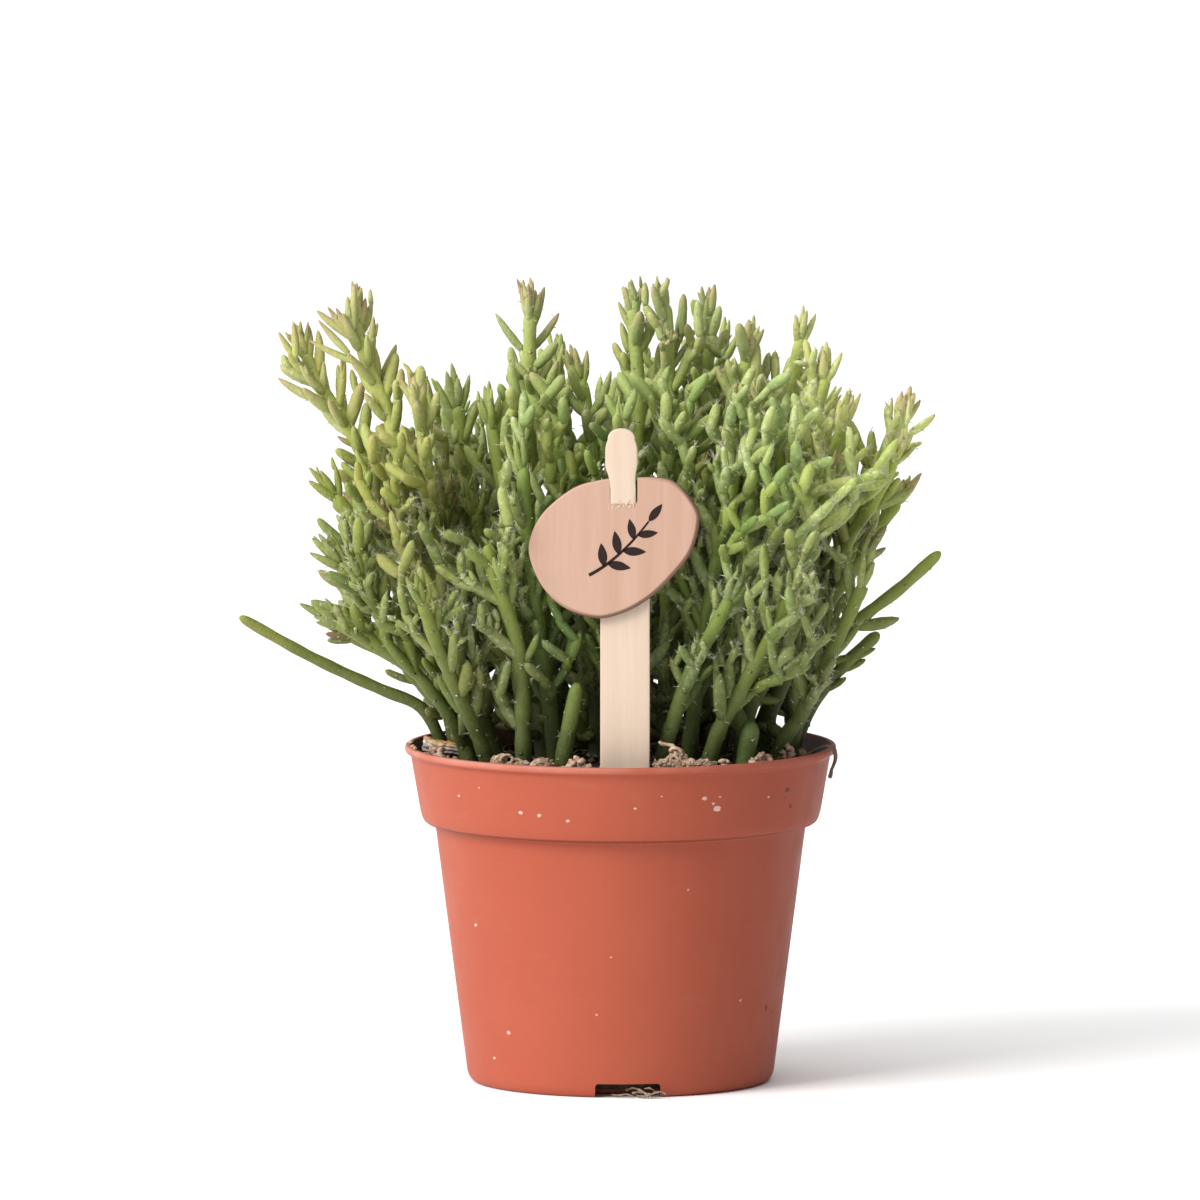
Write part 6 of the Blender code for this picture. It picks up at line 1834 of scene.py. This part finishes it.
def make_slot_fibres():
    """Torn slivers of veneer where the stick was pushed through."""
    rng = random.Random(31)
    bag = Bag()
    face = TAG_Y - TAG_THICKNESS / 2
    for n in range(15):
        x = STICK_X + NECK_SHIFT + rng.uniform(-3.0, 2.4)
        z = SLOT_FOOT_Z + rng.uniform(-0.9, 0.15) + 0.08 * (x + 2.5)
        root = Vector((x, face + 0.10, z - 0.3))
        way = Vector((rng.uniform(-0.5, 0.9), rng.uniform(-0.22, -0.08), rng.uniform(0.5, 1.0))).normalized()
        length = rng.uniform(0.7, 1.5)
        r = rng.uniform(0.12, 0.22)
        bag.tube([root, root + way * length * 0.5 + Vector((0, -0.05, 0)), root + way * length + Vector((0, 0.06, 0))], [r, r * 0.9, r * 0.35], 5, 0.5, 0.5)
    finish_piece(bag.build("slot_fibres", [STICK_MAT]), None)


def make_print():
    """A plain leafy sprig, a hair proud of the tag's face."""
    bm = bmesh.new()
    front, back = TAG_Y - TAG_THICKNESS / 2 - 0.035, TAG_Y - TAG_THICKNESS / 2 + 0.12

    def plate(loop):
        a = [bm.verts.new(Vector((p.x, front, p.y)) * MM) for p in loop]
        b = [bm.verts.new(Vector((p.x, back, p.y)) * MM) for p in loop]
        bm.faces.new(a)
        bm.faces.new(list(reversed(b)))
        for k in range(len(loop)):
            n = (k + 1) % len(loop)
            bm.faces.new((a[k], b[k], b[n], a[n]))

    def leaf(root, angle, length, width):
        way = Vector((math.cos(angle), math.sin(angle), 0))
        side = Vector((-way.y, way.x, 0))
        right, left = [], []
        for k in range(1, 14):
            t = k / 14
            w = width * math.sin(math.pi * t ** 0.85) ** 0.9
            right.append(root + way * length * t + side * w)
            left.append(root + way * length * t - side * w)
        plate([root] + right + [root + way * length] + list(reversed(left)))

    stem = [Vector((-6.6 + 12.4 * t, 109.9 + 11.2 * t - 3.2 * t * (1 - t) * 1.6, 0)) for t in [k / 16 for k in range(17)]]
    left, right = [], []
    for k, p in enumerate(stem):
        d = (stem[min(16, k + 1)] - stem[max(0, k - 1)]).normalized()
        s = Vector((-d.y, d.x, 0)) * (0.36 - 0.16 * k / 16)
        left.append(p + s)
        right.append(p - s)
    plate(right + list(reversed(left)))
    for k, (at, turn, length, width) in enumerate(((4, 62, 4.9, 0.95), (5, -48, 4.9, 0.95), (8, 58, 5.0, 0.95), (9, -46, 4.9, 0.92), (12, 54, 4.4, 0.85),
                                                   (13, -42, 4.3, 0.82), (16, 0, 4.6, 0.85))):
        d = (stem[min(16, at + 1)] - stem[at - 1]).normalized()
        leaf(stem[at], math.atan2(d.y, d.x) + math.radians(turn), length, width)
    bmesh.ops.recalc_face_normals(bm, faces=bm.faces)
    mesh = bpy.data.meshes.new("tag_sprig")
    bm.to_mesh(mesh)
    bm.free()
    finish_piece(into_scene("tag_sprig", mesh, [INK], None, 30.0), None)


def make_bark_chip():
    bm = bmesh.new()
    bmesh.ops.create_cube(bm, size=2.0)
    bmesh.ops.subdivide_edges(bm, edges=bm.edges, cuts=23, use_grid_fill=True)
    layer, end = [], []
    for v in bm.verts:
        x, y, z = v.co
        p = Vector((x * 4, y * 2, z * 1.2))
        taper = (1 - 0.28 * x * x) * (1 - 0.18 * max(0.0, x))
        rx, ry, rz = CHIP_SIZE[0] / 2, CHIP_SIZE[1] / 2, CHIP_SIZE[2] / 2
        ragged = 0.22 * mnoise.noise(p * 1.1) + 0.12 * mnoise.noise(p * 3.3)
        nx_ = x * rx * (1 + 0.16 * mnoise.noise(Vector((y * 2.2, z * 2.0, 3.3)))) * 0.94
        ny_ = y * ry * taper * (1 + ragged)
        nz_ = z * rz * (1 - 0.30 * x) * (1 + 0.30 * mnoise.noise(p * 1.4 + Vector((5, 0, 0)))) + 0.18 * math.sin(3.5 * x) + 0.14 * mnoise.noise(p * 4.1)
        if abs(y) > 0.9:
            ny_ += 0.22 * math.sin(z * 9.0 + 1.5 * mnoise.noise(p))
        layer.append(0.5 + 0.5 * z * 0.9)
        end.append(max(0.0, (-x - 0.55) / 0.45))
        v.co = Vector((nx_, ny_, nz_)) * MM
    mesh = bpy.data.meshes.new("bark_flake")
    bmesh.ops.recalc_face_normals(bm, faces=bm.faces)
    bm.to_mesh(mesh)
    bm.free()
    point_values(mesh, "layer", layer)
    point_values(mesh, "end", end)
    ob = into_scene("bark_flake", mesh, [BARK], None, 60.0)
    ob.location = Vector(CHIP_AT) * MM
    ob.rotation_euler = [math.radians(a) for a in CHIP_TURN]
    finish_piece(ob, "bark_chip")


def make_roots():
    strand = smooth_line(STRAND, 0.35)
    bag = Bag()
    n = len(strand)
    radii = [0.30 + 0.10 * math.sin(0.31 * k) + 0.14 * min(1.0, max(0.0, (k / n - 0.45) / 0.3)) for k in range(n)]
    radii[-1] *= 0.6
    wobble = [p + Vector((mnoise.noise(p * 0.9), mnoise.noise(p * 0.9 + Vector((9, 0, 0))), 0)) * 0.14 for p in strand]
    bag.tube(wobble, radii, 10, 0.5, 0.5)
    ob = bag.build("root_strand_rough", [TWIG_MAT, TWIG_MAT])
    finish_piece(ob, "root_strand")
    wisps = [
        [(2.4, -30.6, 0.95), (4.2, -31.9, 1.35), (6.2, -32.2, 0.85), (7.4, -31.4, 1.3)],
        [(1.2, -29.8, 1.5), (2.6, -31.2, 2.1), (4.4, -32.3, 1.6), (5.6, -32.6, 0.8), (6.6, -32.0, 0.5)],
        [(3.4, -31.0, 0.5), (4.9, -32.6, 0.55), (6.9, -32.9, 1.2), (8.4, -32.8, 1.5), (9.4, -32.5, 0.9)],
        [(5.0, -31.4, 2.0), (6.1, -32.4, 2.2), (7.0, -32.2, 1.5), (6.3, -32.5, 0.9), (5.3, -32.6, 0.6)],
        [(-2.0, -29.6, 0.5), (-0.4, -31.2, 0.6), (1.2, -31.9, 0.9), (2.6, -32.3, 0.5)],
    ]
    bag = Bag()
    for k, knots in enumerate(wisps):
        line = smooth_line(knots, 0.22)
        w = 0.30 - 0.03 * k
        rad = [w * (0.8 + 0.25 * math.sin(0.8 * j + k)) for j in range(len(line))]
        bag.tube(line, rad, 8, 0.5, 0.5)
    ob = bag.build("drain_root_curls", [ROOT_MAT, ROOT_MAT])
    finish_piece(ob, "drain_root")


make_pot()
make_marks()
make_soil_bed()
make_crumbs()
make_stick()
make_tag()
make_print()
make_slot_fibres()
make_bark_chip()
make_roots()

# ------------------------------------------------------------------ camera, light and floor
CAM_ELEVATION = 6.1
CAM_DISTANCE = 5.0
FRAME_WIDTH = 0.2505
AIM = Vector((-0.0043, 0.0, 0.1008))

cam_data = bpy.data.cameras.new("camera")
cam = bpy.data.objects.new("camera", cam_data)
bpy.context.scene.collection.objects.link(cam)
e = math.radians(CAM_ELEVATION)
cam.location = AIM + Vector((0.0, -math.cos(e), math.sin(e))) * CAM_DISTANCE
cam.rotation_euler = (math.radians(90.0) - e, 0.0, 0.0)
cam_data.sensor_width = 36.0
cam_data.lens = 36.0 * CAM_DISTANCE / FRAME_WIDTH
cam_data.clip_start = 0.05
cam_data.clip_end = 200.0
bpy.context.scene.camera = cam
bpy.context.scene.view_settings.view_transform = "Standard"


def area(name, at, aim, size, power, colour=(1, 1, 1), size_y=None):
    data = bpy.data.lights.new(name, "AREA")
    data.energy = power
    data.color = colour
    data.size = size
    if size_y:
        data.shape = "RECTANGLE"
        data.size_y = size_y
    ob = bpy.data.objects.new(name, data)
    bpy.context.scene.collection.objects.link(ob)
    ob.location = at
    ob.rotation_mode = "QUATERNION"
    ob.rotation_quaternion = (Vector(at) - Vector(aim)).to_track_quat("Z", "Y")
    return ob


area("key", (-2.16, -1.72, 1.96), (0, 0, 0.08), 1.75, 112.0, (1.0, 0.985, 0.96))

# a soft sky: brightest overhead, dimmer low down and to the right
world = bpy.data.worlds.new("studio")
world.use_nodes = True
bpy.context.scene.world = world
wt = world.node_tree
wc = wt.nodes.new("ShaderNodeTexCoord")
ws = wt.nodes.new("ShaderNodeSeparateXYZ")
wt.links.new(wc.outputs["Generated"], ws.inputs[0])
up = calc(wt, "MULTIPLY", calc(wt, "MAXIMUM", ws.outputs[2], 0.0), 0.90)
left = calc(wt, "MULTIPLY", ws.outputs[0], -0.72)
wt.links.new(calc(wt, "MAXIMUM", calc(wt, "ADD", calc(wt, "ADD", up, left), 0.42), 0.0), wt.nodes["Background"].inputs["Strength"])
wt.nodes["Background"].inputs["Color"].default_value = (1.0, 1.0, 1.0, 1.0)

floor_mesh = bpy.data.meshes.new("floor")
floor_mesh.from_pydata([(-60, -60, 0), (60, -60, 0), (60, 60, 0), (-60, 60, 0)], [], [(0, 1, 2, 3)])
floor = bpy.data.objects.new("floor", floor_mesh)
bpy.context.scene.collection.objects.link(floor)
floor_mesh.materials.append(FLOOR_MAT)
